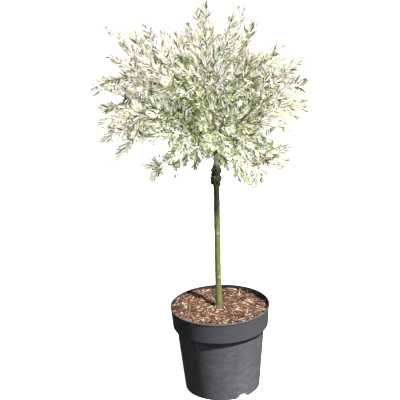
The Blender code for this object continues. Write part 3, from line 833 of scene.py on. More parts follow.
@dataclass
class Pot:
    """Turned nursery tub with an overhanging band, a lip, drain holes and notches in its foot."""

    height: float = 0.248
    band_bottom: float = 0.188
    foot_radius: float = 0.1064
    floor_height: float = 0.0135
    # Radius and height of the profile's corners: inside from the axis to the rim, outside from there back
    inside: Table = (
        (0.0, 0.0024), (0.0670, 0.0024), (0.0682, 0.0135), (0.1052, 0.0135), (0.1209, 0.1862),
        (0.1323, 0.1914), (0.1368, 0.2480))
    outside: Table = (
        (0.1400, 0.2480), (0.1400, 0.2440), (0.1385, 0.2430), (0.1347, 0.1900), (0.1325, 0.1866),
        (0.1236, 0.1836), (0.1064, 0.0), (0.1040, 0.0), (0.1048, 0.0111), (0.0712, 0.0111), (0.0700, 0.0),
        (0.0, 0.0))
    softness: float = 0.0009  # length that a rounded corner takes of each side
    most_softness: float = 0.45  # share of a side that it may take
    corner_steps: int = 3
    steps: int = 160
    sharp: float = 38.0
    drain_holes: int = 6
    hole_bearing: float = 30.0
    hole_radius: float = 0.0060
    hole_ring: float = 0.0880
    hole_sides: int = 20
    hole_reach: Pair = (-0.006, 0.006)  # of its cutter, from the floor
    notch_bearings: tuple[float, ...] = (-60.0, 60.0, 180.0)
    notch_foot: float = 0.034
    notch_top: float = 0.018
    notch_height: float = 0.0120
    notch_floor: float = -0.003
    notch_reach: Pair = (-0.010, 0.010)  # of its cutter, from the foot's radius
    inward: float = -0.3  # sideways part of the normal under which a face looks inwards

    def inside_radius(self, height: float | Array) -> float | Array:
        """Radius of the band's inner side at a height."""
        (low_radius, low), (high_radius, high) = self.inside[-2:]
        return low_radius + (high_radius - low_radius) * (height - low) / (high - low)

    def softened(self) -> Array:
        """Whole profile with its corners rounded.

        Returns:
            Radius and height of each point, from the axis round to the axis.
        """
        corners = np.array(self.inside + self.outside)
        rows = [corners[0]]
        for before, here, after in zip(corners, corners[1:], corners[2:]):
            start, end = (
                here + unit(side) * min(self.softness, self.most_softness * np.linalg.norm(side))
                for side in (before - here, after - here))
            rows.extend(bezier(start, here, end, self.corner_steps))
        return np.array([*rows, corners[-1]])

    def cutters(self) -> list[bpy.types.Object]:
        """Drain holes and notches.

        Returns:
            One cutter for the holes and one for the notches.
        """
        holes, notches = Shapes(), Shapes()
        for index in range(self.drain_holes):
            centre = self.hole_ring * heading(self.hole_bearing + index * 360.0 / self.drain_holes, 0.0)
            ring = centre + self.hole_radius * circle(self.hole_sides)
            rings = np.stack([ring + UP * (self.floor_height + offset) for offset in self.hole_reach])
            holes.add_rings(rings, rings.mean(axis=1))
        low, high = self.notch_floor, self.notch_height
        flare = (self.notch_foot - self.notch_top) / high
        for bearing in self.notch_bearings:
            outward, across = heading(bearing, 0.0), heading(bearing + 90.0, 0.0)
            corners = [
                (side, height, self.notch_top + flare * (high - height))
                for side, height in ((-0.5, low), (0.5, low), (0.5, high), (-0.5, high))]
            rings = np.array([[
                outward * (self.foot_radius + reach) + UP * height + across * side * width
                for side, height, width in corners] for reach in self.notch_reach])
            notches.add_rings(rings, rings.mean(axis=1))
        return [holes.bare("hole_cutter"), notches.bare("notch_cutter")]

    def build(self) -> bpy.types.Object:
        """Make the pot in place of its solid.

        Returns:
            The pot.
        """
        profile = self.softened()
        rings = np.array([circle(self.steps) * radius + UP * height for radius, height in profile[1:-1]])
        shape = Shapes()
        shape.add_rings(rings[::-1], profile[[-1, 0], 1:] * UP)
        plastic = TubPlastic()
        tub = shape.piece("tub", plastic.material(self.height, self.band_bottom), "plastic")
        tub.data.materials.append(plastic.inside.material())
        for cutter in self.cutters():
            step = tub.modifiers.new("cut", "BOOLEAN")
            step.operation = "DIFFERENCE"
            step.solver = "EXACT"
            step.object = cutter
            bpy.context.view_layer.update()
            cut = tub.evaluated_get(bpy.context.evaluated_depsgraph_get())
            tub.data = bpy.data.meshes.new_from_object(cut)
            tub.modifiers.clear()
            bpy.data.objects.remove(cutter)
        tub.data.shade_smooth()
        tub.data.set_sharp_from_angle(angle=math.radians(self.sharp))
        for face in tub.data.polygons:
            sideways = face.center.x * face.normal.x + face.center.y * face.normal.y
            inward = sideways < self.inward * face.center.xy.length
            face.material_index = int(inward and face.center.z > self.floor_height)
        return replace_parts(tub, "pot")


@dataclass
class Stem:
    """Clear stem from the compost to the fork, with its flare, graft knot and bud scars."""

    ground: float = 0.2138
    fork: float = 0.702
    graft: float = 0.662
    shaded: float = 0.492  # height where the crown's shadow begins
    foot: float = -0.0040
    lean: float = 0.0180
    kick: float = 0.0030  # how far the foot bends aside, and over which height
    kick_height: float = 0.050
    sway: float = 0.0009  # wave in depth, and how quick it is
    sway_waves: float = 19.0
    radius: float = 0.0086
    taper: float = 0.0005
    scion_radius: float = 0.0060
    scion_blend: float = 0.004
    head_radius: float = 0.0063
    head: Pair = (0.697, 0.0080)  # height and spread of the swollen head
    flare: float = 0.0034
    flare_height: float = 0.017
    ribs: float = 0.22  # share by which its three ribs stand out
    ribs_turn: float = 0.4
    # Height, size, spread and share that goes all round, of each lobe of the graft knot
    lobes: Table = ((0.616, 0.0062, 0.0080, 0.35), (0.640, 0.0042, 0.0120, 0.60))
    # Height and bearing in degrees of each bud scar
    scars: Table = ((0.463, -82.0), (0.406, -150.0), (0.331, -74.0), (0.560, -110.0))
    # Height, bearing in degrees, size and spread of each bud, stub or callus
    bumps: Table = (
        (0.606, 200.0, 0.0060, 0.0056), (0.602, -20.0, 0.0036, 0.0048), (0.615, 250.0, 0.0026, 0.0050),
        (0.622, 305.0, 0.0030, 0.0045), (0.628, 186.0, 0.0052, 0.0050), (0.643, 205.0, 0.0030, 0.0034),
        (0.648, 345.0, 0.0022, 0.0036), (0.655, 270.0, 0.0016, 0.0045), (0.640, 60.0, 0.0026, 0.0050),
        (0.610, 110.0, 0.0032, 0.0055), (0.462, 285.0, 0.0009, 0.0050), (0.332, 290.0, 0.0009, 0.0050),
        (0.413, 215.0, 0.0010, 0.0040), (0.548, 330.0, 0.0008, 0.0050), (0.500, 80.0, 0.0010, 0.0050),
        (0.372, 120.0, 0.0010, 0.0050))
    # Height, bearing and rise in degrees, length, droop and radius of each stub or thin shoot
    stubs: Table = (
        (0.640, 190.0, 55.0, 0.022, 0.000, 0.0016), (0.624, 200.0, 12.0, 0.024, 0.012, 0.0015),
        (0.652, 340.0, 35.0, 0.014, 0.000, 0.0012), (0.612, -25.0, 20.0, 0.010, 0.002, 0.0014),
        (0.698, 196.0, 30.0, 0.030, 0.052, 0.0009), (0.699, 344.0, 40.0, 0.026, 0.046, 0.0009),
        (0.697, 250.0, 25.0, 0.034, 0.040, 0.0008), (0.698, 120.0, 30.0, 0.030, 0.050, 0.0008),
        (0.606, 95.0, 30.0, 0.012, 0.002, 0.0012))
    stub_root: float = 0.002  # depth of its foot in the bark
    stub_steps: int = 10
    stub_sides: int = 7
    stub_taper: float = 0.45
    sides: int = 56
    ring_spacing: float = 0.0016
    fissures: Relief = Relief(3, 14, 0.0052, 9.0)
    lumps: Relief = Relief(5, 8, 0.0160, 1.5)
    rough: Pair = (0.10, 0.30)  # bark's roughness low down, and what is added above the next height
    rough_from: float = 0.585
    rough_blend: float = 0.03
    knot: Pair = (0.627, 0.018)  # height and spread of the graft's rough knot
    fissure_depth: Pair = (0.0009, 0.0006)  # with the roughness, and on the knot
    lump_depth: Triple = (0.00022, 0.0012, 0.0009)  # all over, with the roughness, and on the knot
    head_rise: Pair = (0.004, 0.006)  # how far its last ring and its end stand over the fork

    def centre(self, height: float) -> Array:
        """Axis of the stem.

        Args:
            height: where it is wanted.

        Returns:
            The point.
        """
        rise = height - self.ground
        bend = self.kick * math.exp(-rise / self.kick_height)
        sway = self.sway * math.sin(rise * self.sway_waves)
        return np.array((self.foot + self.lean * rise + bend, sway, height))

    def girth(self, height: float, angles: Array) -> Array:
        """Radius of the stem all round.

        Args:
            height: where it is wanted.
            angles: bearings in radians.

        Returns:
            The radius at each bearing.
        """
        share = min((height - self.ground) / (self.graft - self.ground), 1.0)
        rootstock = self.radius - self.taper * share
        grafted = 1.0 / (1.0 + math.exp(-(height - self.graft) / self.scion_blend))
        girth = rootstock + (self.scion_radius - rootstock) * grafted
        girth = girth + self.flare * math.exp(-(height - self.ground) / self.flare_height) * (
            1.0 + self.ribs * np.cos(3.0 * angles + self.ribs_turn))
        for place, size, spread, all_round in self.lobes:
            sideways = all_round + (1.0 - all_round) * np.cos(angles) ** 2
            girth += size * bell(height, place, spread) * sideways
        girth += (self.head_radius - self.scion_radius) * bell(height, *self.head)
        for place, bearing, size, spread in self.bumps:
            turn = np.angle(np.exp(1j * (angles - math.radians(bearing))))
            girth += size * np.exp(-(((height - place) ** 2 + (turn * self.radius) ** 2) / spread ** 2))
        return girth

    def on_bark(self, height: float, bearing: float) -> Array:
        """Point on the bark at a height and a bearing in degrees."""
        girth = self.girth(height, np.array([math.radians(bearing)]))
        return self.centre(height) + heading(bearing, 0.0) * girth[0]

    def sunlit(self) -> tuple[Array, Array]:
        """Ends of the stretch that stands in the sun below the crown's shadow."""
        return self.centre(self.ground), self.centre(self.shaded)

    def build_shoots(self) -> None:
        """Make the stubs on the graft and the thin shoots that hang beside the head."""
        shape = Shapes()
        for height, bearing, rise, length, droop, radius in self.stubs:
            start = self.on_bark(height, bearing) - heading(bearing, 0.0) * self.stub_root
            ahead = heading(bearing, rise) * length
            path = bezier(start, start + ahead * 0.5, start + ahead * 0.9 - UP * droop, self.stub_steps)
            shape.add_tube(path, np.linspace(radius, radius * self.stub_taper, len(path)), self.stub_sides)
        bark = Mottled("stub_bark", (0.080, 0.066, 0.036), (0.260, 0.225, 0.130)).material()
        shape.piece("stem_shoots", bark, "stem_bark")

    def build(self) -> bpy.types.Object:
        """Make the stem's relief mesh in place of its solid.

        Returns:
            The stem.
        """
        last, end = (self.fork + rise for rise in self.head_rise)
        heights = np.arange(self.ground, last, self.ring_spacing)
        centres, angles = np.array([self.centre(h) for h in heights])[:, None], round_angles(self.sides)
        rings = centres + circle(self.sides) * np.array([self.girth(h, angles) for h in heights])[..., None]
        least, added = self.rough
        rough = least + np.clip((heights - self.rough_from) / self.rough_blend, 0.0, 1.0)[:, None] * added
        knot = bell(heights, *self.knot)[:, None]
        fissured, fissured_knot = self.fissure_depth
        lumpy, lumpy_rough, lumpy_knot = self.lump_depth
        swell = self.fissures.at(rings) * (rough * fissured + knot * fissured_knot) + self.lumps.at(rings) * (
            lumpy + lumpy_rough * rough ** 2 + knot * lumpy_knot)
        rings = rings + unit(rings - centres) * swell[..., None]
        rings[0] = rings[0] * FLAT + UP * self.ground
        shape = Shapes()
        shape.add_rings(rings, np.array([self.centre(self.ground), self.centre(end)]))
        scars = [self.on_bark(height, bearing) for height, bearing in self.scars]
        bark = StemBark().material(self.ground, self.graft, scars)
        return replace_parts(shape.piece("stem_relief", bark, "stem_bark"), "stem")


@dataclass
class Limb:
    """Path of a grown limb with its radii."""

    points: Array
    radii: Array

    @property
    def tip(self) -> Array:
        """End of the limb."""
        return self.points[-1]

    @property
    def ahead(self) -> Array:
        """Direction at its tip."""
        return unit(self.points[-1] - self.points[-2])


@dataclass(frozen=True)
class Bough:
    """One bough: where it leaves its parent, its bearing and rise in degrees, and its size."""

    name: str
    parent: str
    along: float
    bearing: float
    rise: float
    rise_tip: float
    length: float
    radius: float
    radius_tip: float
    steps: int = 3
    sway: float = 9.0  # degrees that its bearing may turn

    def limb(self, stem: Stem, grown: dict[str, Limb]) -> Limb:
        """Work out the bough's path.

        Args:
            stem: the stem that carries the first boughs.
            grown: the limbs worked out before.

        Returns:
            The limb.
        """
        on_stem = self.parent == "stem"
        points = [stem.centre(self.along) if on_stem else point_on(grown[self.parent].points, self.along)[0]]
        for step in range(self.steps):
            share = step / (self.steps - 1)
            rise = self.rise + (self.rise_tip - self.rise) * share
            bearing = self.bearing + self.sway * share * math.sin(2.0 * share + self.bearing)
            points.append(points[-1] + heading(bearing, rise) * self.length / self.steps)
        return Limb(np.array(points), np.linspace(self.radius, self.radius_tip, self.steps + 1))


# A bough of the stem leaves it at a height, any other at a share of its parent's length
BOUGHS = (
    Bough("leader", "stem", 0.702, 195, 88, 84, 0.180, 0.0042, 0.0020),
    Bough("left", "stem", 0.6915, 184, 40, 26, 0.135, 0.0027, 0.0017),
    Bough("front_left", "stem", 0.6905, 238, 46, 38, 0.120, 0.0026, 0.0016),
    Bough("front_right", "stem", 0.6890, 300, 46, 38, 0.120, 0.0026, 0.0016),
    Bough("right", "stem", 0.6900, 356, 53, 45, 0.155, 0.0027, 0.0017),
    Bough("back_right", "stem", 0.6905, 48, 42, 30, 0.125, 0.0026, 0.0016),
    Bough("back_left", "stem", 0.6890, 122, 42, 30, 0.125, 0.0026, 0.0016),
    Bough("lower_left", "left", 0.34, 204, -14, -34, 0.088, 0.0017, 0.0013),
    Bough("lower_right", "right", 0.24, 344, 6, -26, 0.088, 0.0018, 0.0013),
    Bough("lower_back", "back_left", 0.36, 88, 6, -12, 0.088, 0.0017, 0.0013),
    Bough("front", "front_right", 0.34, 264, 52, 44, 0.092, 0.0018, 0.0013),
    Bough("back", "back_right", 0.34, 86, 40, 34, 0.092, 0.0018, 0.0013),
    Bough("top_left", "leader", 0.24, 176, 54, 46, 0.105, 0.0024, 0.0014),
    Bough("top_right", "leader", 0.36, 4, 60, 54, 0.100, 0.0023, 0.0014),
    Bough("top_back", "leader", 0.44, 92, 50, 46, 0.090, 0.0021, 0.0014),
    Bough("top_front", "leader", 0.52, 268, 50, 46, 0.090, 0.0020, 0.0014),
)


@dataclass
class Boughs:
    """The sixteen boughs, in one piece with a rough bark and swollen collars."""

    sides: int = 14
    steps: int = 16
    collar: float = 0.55  # share that a bough is thicker at its foot
    collar_length: float = 0.07  # as a share of its own
    node_swell: float = 0.10
    ridge: float = 0.05
    twist: Pair = (9.0, 31.0)  # how far the broad and the narrow ridges wind round it, in radians

    def limbs(self, stem: Stem) -> dict[str, Limb]:
        """Work out every bough's path.

        Args:
            stem: the stem that carries them.

        Returns:
            The limbs by name.
        """
        grown: dict[str, Limb] = {}
        for bough in BOUGHS:
            grown[bough.name] = bough.limb(stem, grown)
        return grown

    def build(self, grown: dict[str, Limb]) -> bpy.types.Object:
        """Make the boughs in place of their solids.

        Args:
            grown: the limbs by name.

        Returns:
            The boughs' piece.
        """
        shape = Shapes()
        turns = round_angles(self.sides)[None]
        for index, limb in enumerate(grown.values()):
            path = smoothed(limb.points, self.steps)
            shares = np.linspace(0.0, 1.0, len(path))
            radii = limb.radii[0] + (limb.radii[-1] - limb.radii[0]) * shares
            radii = radii * (1.0 + self.collar * np.exp(-shares / self.collar_length))
            nodes = 1.0 + self.node_swell * np.cos(shares * len(limb.points) * 9.0 + index) ** 8
            broad, narrow = (shares[:, None] * twist for twist in self.twist)
            ridges = np.sin(3.0 * turns + broad) * self.ridge
            ridges = ridges + np.sin(5.0 * turns + index + narrow) * self.ridge
            shape.add_tube(path, radii * nodes, self.sides, 1.0 + ridges)
        bark = Mottled("bough_bark", (0.020, 0.018, 0.011), (0.075, 0.067, 0.042)).material()
        piece = shape.piece("boughs_relief", bark, "bough_bark")
        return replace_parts(piece, *(f"{name}_bough" for name in grown))


@dataclass(frozen=True)
class Outline:
    """How far the crown reaches from its heart as seen from in front.

    Each shoot, notch or gap is its angle in degrees up from the right and its reach in the stem's plane.
    """

    shoots: Table = (
        (-63, 0.204), (-57, 0.261), (-36, 0.264), (-23, 0.257), (-12, 0.244), (4, 0.283), (17, 0.293),
        (26, 0.296), (37, 0.278), (43, 0.243), (57, 0.272), (66, 0.291), (86, 0.296), (99, 0.236),
        (112, 0.234), (120, 0.283), (128, 0.285), (135, 0.332), (145, 0.283), (163, 0.296), (174, 0.262),
        (184, 0.268), (193, 0.274), (206, 0.262), (221, 0.206), (232, 0.222), (245, 0.180), (261, 0.148))
    notches: Table = ((212, 0.150), (289, 0.112))
    # Sky between the shoots
    gaps: Table = (
        (-66, 0.165), (-50, 0.236), (-28, 0.230), (-21, 0.178), (-16, 0.178), (-11, 0.196), (-2, 0.264),
        (10, 0.252), (20, 0.228), (32, 0.262), (47, 0.212), (52, 0.224), (60, 0.258), (73, 0.222),
        (79, 0.228), (92, 0.228), (106, 0.214), (116, 0.232), (124, 0.270), (131, 0.284), (140, 0.236),
        (151, 0.205), (157, 0.236), (166, 0.190), (171, 0.204), (178, 0.222), (189, 0.222), (199, 0.206),
        (208, 0.170), (212, 0.118), (217, 0.110), (221, 0.118), (227, 0.150), (239, 0.150), (252, 0.134),
        (270, 0.128), (289, 0.112))
    thin_shoots: tuple[float, ...] = (206, 221)  # with sky close to them on both sides
    # At some angles, the degrees that a shoot's end turns from straight away from the heart
    turns: Table = (
        (-71, 0), (-60, 5), (-55, -35), (-48, 0), (-40, 30), (-26, 50), (-19, 10), (-13, -35), (-6, 0),
        (4, 16), (15, 16), (27, 0), (39, -4), (58, 3), (68, 0), (86, 11), (97, 5), (120, 0), (135, -2),
        (146, 8), (151, 18), (157, 44), (163, 48), (168, 0), (174, -22), (183, -24), (189, 5), (193, 16),
        (204, 14), (212, 0), (221, -14), (226, -10), (231, 5), (261, -10))

    def with_gaps(self) -> Outline:
        """Same outline with the sky between its shoots, for the twigs and leaves."""
        shoots = tuple(shoot for shoot in self.shoots if shoot[0] not in self.thin_shoots)
        return Outline(shoots=shoots, notches=self.gaps)

    def reach(self, angles: Array) -> Array:
        """Reach at some angles.

        Args:
            angles: degrees up from the right.

        Returns:
            The reach at each.
        """
        spots = (*self.shoots, *self.notches)
        ring = sorted(((angle + 90.0) % 360.0 - 90.0, reach) for angle, reach in spots)
        start = ring[0][0]
        ring.append((start + 360.0, ring[0][1]))
        return np.interp((angles - start) % 360.0 + start, *zip(*ring))

    def arrival(self, angle: float) -> Array:
        """Direction in the stem's plane in which a shoot of the outline ends.

        Args:
            angle: the shoot's angle in degrees up from the right.

        Returns:
            The unit vector.
        """
        places, turns = zip(*self.turns)
        turned = float(np.interp((angle - places[0]) % 360.0 + places[0], places, turns))
        return heading(0.0, angle + turned)

    def spot(self, angle: float, reach: float, depth: float) -> Array:
        """Point seen at an angle and a reach from the heart, some way in front of the stem's plane."""
        flat = HEART + reach * heading(0.0, angle)
        return EYE + (flat - EYE) * (1.0 - depth / EYE[1])

    def share(self, points: Array) -> Array:
        """How far out points lie as seen from in front, as a share of the reach there.

        Args:
            points: one row for each.

        Returns:
            The share of each, 1 on the outline.
        """
        flat = EYE + (points - EYE) * (EYE[1] / (EYE[1] - points[..., 1]))[..., None] - HEART
        across, up = flat[..., 0], flat[..., 2]
        return np.hypot(across, up) / self.reach(np.degrees(np.arctan2(up, across)))


@dataclass
class Shoot:
    """One shoot or twig: its path, its radii and how it is dressed."""

    path: Array
    radii: Array
    level: int
    bare: float  # share of its length without leaves, from its foot
    plume: bool  # stands out at the crown's edge

    @property
    def length(self) -> float:
        """Length of its path."""
        return float(np.linalg.norm(np.diff(self.path, axis=0), axis=1).sum())


@dataclass(frozen=True)
class Goal:
    """Where a shoot ends."""

    tip: Array
    arrival: Array  # its direction there
    plume: bool


@dataclass
class Crown:
    """Shoots and twigs that grow on from the boughs' tips."""

    outline: Outline = Outline()
    edge: Outline = Outline().with_gaps()
    depth: float = 0.035  # the outline's shoots lie within this of the stem's plane
    lowest_rise: float = -46.0
    cut_step: float = 0.02  # share by which a shoot that crosses an outline is cut back at a time
    fill_shoots: int = 96
    fill_sway: float = 6.0
    fill_reach: Pair = (0.70, 1.0)
    fill_limit: float = 0.95
    least_reach: float = 0.72
    fine_shoots: int = 290
    fine_start: float = 77.0
    fine_sway: float = 12.0
    fine_reach: Pair = (0.48, 0.97)
    fine_limit: float = 0.93
    # Plumes at the crown's edge: angle, reach and number of shoots of each
    plumes: tuple[tuple[float, float, int], ...] = (
        (-72, 0.142, 2), (-67, 0.164, 3), (-60, 0.188, 3), (-58, 0.240, 2), (-55, 0.268, 4), (-46, 0.236, 2),
        (-38, 0.256, 3), (-31, 0.266, 3), (-25, 0.252, 3), (-13, 0.238, 2), (-4, 0.258, 2), (0, 0.288, 3),
        (4, 0.292, 4), (8, 0.280, 3), (14, 0.298, 4), (20, 0.256, 2), (25, 0.298, 5), (32, 0.268, 2),
        (38, 0.272, 3), (45, 0.218, 2), (59, 0.270, 3), (65, 0.268, 3), (69, 0.286, 4), (83, 0.250, 2),
        (88, 0.304, 4), (90, 0.276, 2), (96, 0.234, 2), (105, 0.218, 2), (113, 0.234, 3), (121, 0.280, 3),
        (128, 0.282, 3), (135, 0.324, 4), (145, 0.272, 3), (157, 0.256, 3), (164, 0.304, 4),
        (174, 0.264, 3), (183, 0.264, 3), (193, 0.266, 3), (204, 0.242, 3), (224, 0.204, 3),
        (231, 0.220, 3), (242, 0.158, 2), (250, 0.140, 2), (266, 0.126, 2), (275, 0.122, 2))
    plume_depth: float = 0.050
    plume_turn: float = 2.0  # degrees that a plume's shoots lie apart
    plume_lag: float = 0.10  # share of the reach by which they end sooner
    plume_way: float = 0.09  # a plume grows from the bough nearest to where it is this long before its end
    bough_way: float = 0.055  # and a bough is taken to be this far ahead of its tip
    across_view: float = 0.35
    upturn: float = 0.32
    stem_radius: float = 0.0021
    shoot_radius: float = 0.0015
    tip_radius: float = 0.00055
    thinning: float = 0.8
    stretch_length: float = 0.012
    least_stretches: int = 5
    foot_pull: float = 0.40  # share of a shoot's reach over which it keeps its first direction
    tip_pull: float = 0.50
    hold: float = 0.60  # how firmly it keeps to its last direction
    plume_hold: float = 0.85
    waver: float = 0.010
    waver_turns: float = 1.3
    bare: Pair = (0.26, 0.06)  # share of a shoot's and of a twig's foot without leaves or twigs
    fork: Pair = (0.03, 0.54)  # where a mass's last shoot leaves its stem, and how much later the first does
    fork_sway: float = 0.08
    twig_spacing: float = 0.028
    twig_limit: float = 0.92  # of the outline with its gaps
    twig_angle: Pair = (24.0, 44.0)
    twigless: Pair = (0.030, 0.075)  # length of a shoot's and of a plume's end without twigs
    twig_length: Pair = (0.45, 0.85)  # share of what is left of its shoot
    twig_bend: float = 0.28  # share by which a twig turns back along its shoot
    most_twig: float = 0.5  # share of its shoot's length
    twig_more: float = 0.010
    twig_rise: float = 0.10  # how much twigs turn up
    twig_cut: float = 0.85  # share that is left of a twig that crosses the outline, at a time
    least_twig: float = 0.020
    twig_sway: Pair = (0.75, 1.25)  # of their spacing
    twig_radius: float = 0.62  # of a shoot's
    inner_spacing: float = 0.0075
    inner_length: Pair = (0.045, 0.120)
    inner_angle: Pair = (38.0, 82.0)
    inner_sway: float = 25.0
    inner_start: float = 0.16
    inner_steps: int = 6
    inner_rise: float = 0.25
    inner_floor: float = 0.675
    inner_radius: float = 0.6

    def spiral(self, count: int, start: float, sway: float, chance: random.Random) -> Iterator[Array]:
        """Directions spread evenly round the heart, from the lowest up.

        Args:
            count: how many.
            start: bearing of the first.
            sway: degrees that a bearing may stray.
            chance: the seeded source of draws.

        Yields:
            Each unit vector.
        """
        lowest = math.sin(math.radians(self.lowest_rise))
        for index in range(count):
            rise = math.degrees(math.asin(lowest + (1.0 - lowest) * (index + 0.5) / count))
            yield heading(index * GOLDEN_ANGLE + start + chance.uniform(-sway, sway), rise)

    def end(self, way: Array, share: float, edge: Outline, limit: float) -> tuple[Array, float]:
        """End of a shoot inside the crown, cut back to stay within an outline.

        Args:
            way: its direction from the heart.
            share: its reach as a share of the crown's.
            edge: the outline.
            limit: share of the outline that it may fill.

        Returns:
            The point, and the share of its reach that is left.
        """
        reach = way * (share / np.linalg.norm(way / CROWN_HALF))
        cut = 1.0
        while edge.share(HEART + reach * cut) > limit:
            cut -= self.cut_step
        return HEART + reach * cut, cut

    def fountain(self, way: Array) -> Array:
        """Direction in which a shoot inside the outline ends: it bends up and stands across the view."""
        return unit(way * (1.0, self.across_view, 1.0) + UP * (self.upturn if way[2] > 0.0 else 0.0))

    def main_goals(self, chance: random.Random) -> list[Goal]:
        """Ends of the main shoots, by the solids' rule and in its order of draws.

        Args:
            chance: the seeded source of draws.

        Returns:
            The goals.
        """
        goals = []
        for angle, reach in self.outline.shoots:
            tip = self.outline.spot(angle, reach, chance.uniform(-self.depth, self.depth))
            goals.append(Goal(tip, self.outline.arrival(angle), True))
        for way in self.spiral(self.fill_shoots, 0.0, self.fill_sway, chance):
            tip, cut = self.end(way, chance.uniform(*self.fill_reach), self.outline, self.fill_limit)
            if cut >= self.least_reach and abs(tip[1]) > self.depth:
                goals.append(Goal(tip, self.fountain(way), False))
        return goals

    def fine_goals(self, chance: random.Random) -> list[Goal]:
        """Ends of further shoots: the plumes, then what fills the crown between the main shoots.

        Args:
            chance: the seeded source of draws.

        Returns:
            The goals.
        """
        goals = []
        for angle, reach, count in self.plumes:
            for index in range(count):
                turned = angle + chance.uniform(-self.plume_turn, self.plume_turn) * min(index, 1)
                length = reach * (1.0 - self.plume_lag * index / count)
                tip = self.outline.spot(turned, length, chance.uniform(-self.plume_depth, self.plume_depth))
                goals.append(Goal(tip, self.outline.arrival(turned), True))
        near, far = self.fine_reach
        for way in self.spiral(self.fine_shoots, self.fine_start, self.fine_sway, chance):
            share = near + (far - near) * math.sqrt(chance.random())
            goals.append(Goal(self.end(way, share, self.edge, self.fine_limit)[0], self.fountain(way), False))
        return goals

    def shoot(self, base: Array, ahead: Array, goal: Goal, radius: float, level: int,
              chance: random.Random) -> Shoot:
        """Grow one shoot from a point towards its goal.

        Args:
            base: where it starts.
            ahead: its direction there.
            goal: where it ends.
            radius: its radius at the base.
            level: 0 for a main shoot, 1 for a twig of one.
            chance: the seeded source of draws.

        Returns:
            The shoot.
        """
        reach = float(np.linalg.norm(goal.tip - base))
        steps = max(self.least_stretches, int(reach / self.stretch_length))
        handle = base + ahead * reach * self.foot_pull
        if level == 0:
            hold = self.plume_hold if goal.plume else self.hold
            handle = (1.0 - hold) * handle + hold * (goal.tip - goal.arrival * reach * self.tip_pull)
        phase = np.linspace(0.0, 1.0, steps + 1)
        waver = np.array([chance.uniform(-1.0, 1.0) for _ in range(3)]) * self.waver * reach
        swing = np.sin(phase * math.tau * self.waver_turns) * 4.0 * phase * (1.0 - phase)
        path = bezier(base, handle, goal.tip, steps) + swing[:, None] * waver
        radii = radius + (self.tip_radius - radius) * phase ** self.thinning
        return Shoot(path, radii, level, self.bare[level], goal.plume)

    def twig(self, spot: Array, ahead: Array, tip: Array, share: float, chance: random.Random) -> Shoot:
        """Grow a twig to its tip, with a share of a shoot's radius."""
        return self.shoot(spot, ahead, Goal(tip, ahead, False), self.shoot_radius * share, 1, chance)

    def twigs(self, parent: Shoot, chance: random.Random) -> list[Shoot]:
        """Side twigs of a shoot, in turn round it.

        Args:
            parent: the shoot.
            chance: the seeded source of draws.

        Returns:
            The twigs that stay within the outline.
        """
        total = parent.length
        travelled = total * self.bare[0]
        roll = chance.uniform(0.0, 360.0)
        made = []
        while travelled < total - self.twigless[parent.plume]:
            spot, tangent = point_on(parent.path, travelled / total)
            ahead = leaving(tangent, roll, chance.uniform(*self.twig_angle))
            left = (total - travelled) * chance.uniform(*self.twig_length)
            length = min(total * self.most_twig, left + self.twig_more)
            way = unit(ahead * (1.0 - self.twig_bend) + tangent * self.twig_bend + UP * self.twig_rise)
            while self.edge.share(spot + way * length) > self.twig_limit and length > self.least_twig:
                length *= self.twig_cut
            if self.edge.share(spot + way * length) <= self.twig_limit:
                made.append(self.twig(spot, ahead, spot + way * length, self.twig_radius, chance))
            travelled += self.twig_spacing * chance.uniform(*self.twig_sway)
            roll += TWIG_TURN
        return made

    def inner_twigs(self, limb: Limb, chance: random.Random) -> list[Shoot]:
        """Leafy twigs all along a bough, which close the middle of the crown.

        Args:
            limb: the bough.
            chance: the seeded source of draws.

        Returns:
            The twigs.
        """
        path = smoothed(limb.points, self.inner_steps)
        count = int(np.linalg.norm(limb.points[-1] - limb.points[0]) / self.inner_spacing)
        made = []
        for index in range(count):
            along = self.inner_start + (1.0 - self.inner_start) * (index + chance.random()) / count
            spot, tangent = point_on(path, along)
            roll = index * TWIG_TURN + chance.uniform(-self.inner_sway, self.inner_sway)
            ahead = leaving(tangent, roll, chance.uniform(*self.inner_angle))
            tip = spot + unit(ahead + UP * self.inner_rise) * chance.uniform(*self.inner_length)
            if self.edge.share(tip) <= self.twig_limit and tip[2] > self.inner_floor:
                made.append(self.twig(spot, ahead, tip, self.inner_radius, chance))
        return made

    def spray(self, limb: Limb, goals: Sequence[Goal], chance: random.Random) -> list[Shoot]:
        """Grow one mass: its stem towards the goal straight ahead, the rest off the stem.

        Args:
            limb: the bough that carries it.
            goals: the ends of its shoots.
            chance: the seeded source of draws.

        Returns:
            The mass's shoots and twigs.
        """
        tips = np.array([goal.tip for goal in goals])
        turned = np.arccos(np.clip(unit(tips - limb.tip) @ limb.ahead, -1.0, 1.0))
        order = np.argsort(turned)
        first, later = self.fork
        grown: list[Shoot] = []
        for index in order:
            goal = goals[index]
            if not grown:
                made = stem = self.shoot(limb.tip, limb.ahead, goal, self.stem_radius, 0, chance)
                stem.radii[0] = limb.radii[-1]
            else:
                share = first + later * (1.0 - turned[index] / (turned[order[-1]] + 1e-6))
                base, tangent = point_on(stem.path, share + chance.uniform(0.0, self.fork_sway))
                ahead = unit(tangent + unit(goal.tip - base))
                made = self.shoot(base, ahead, goal, self.shoot_radius, 0, chance)
            grown.append(made)
            grown += self.twigs(made, chance)
        return grown

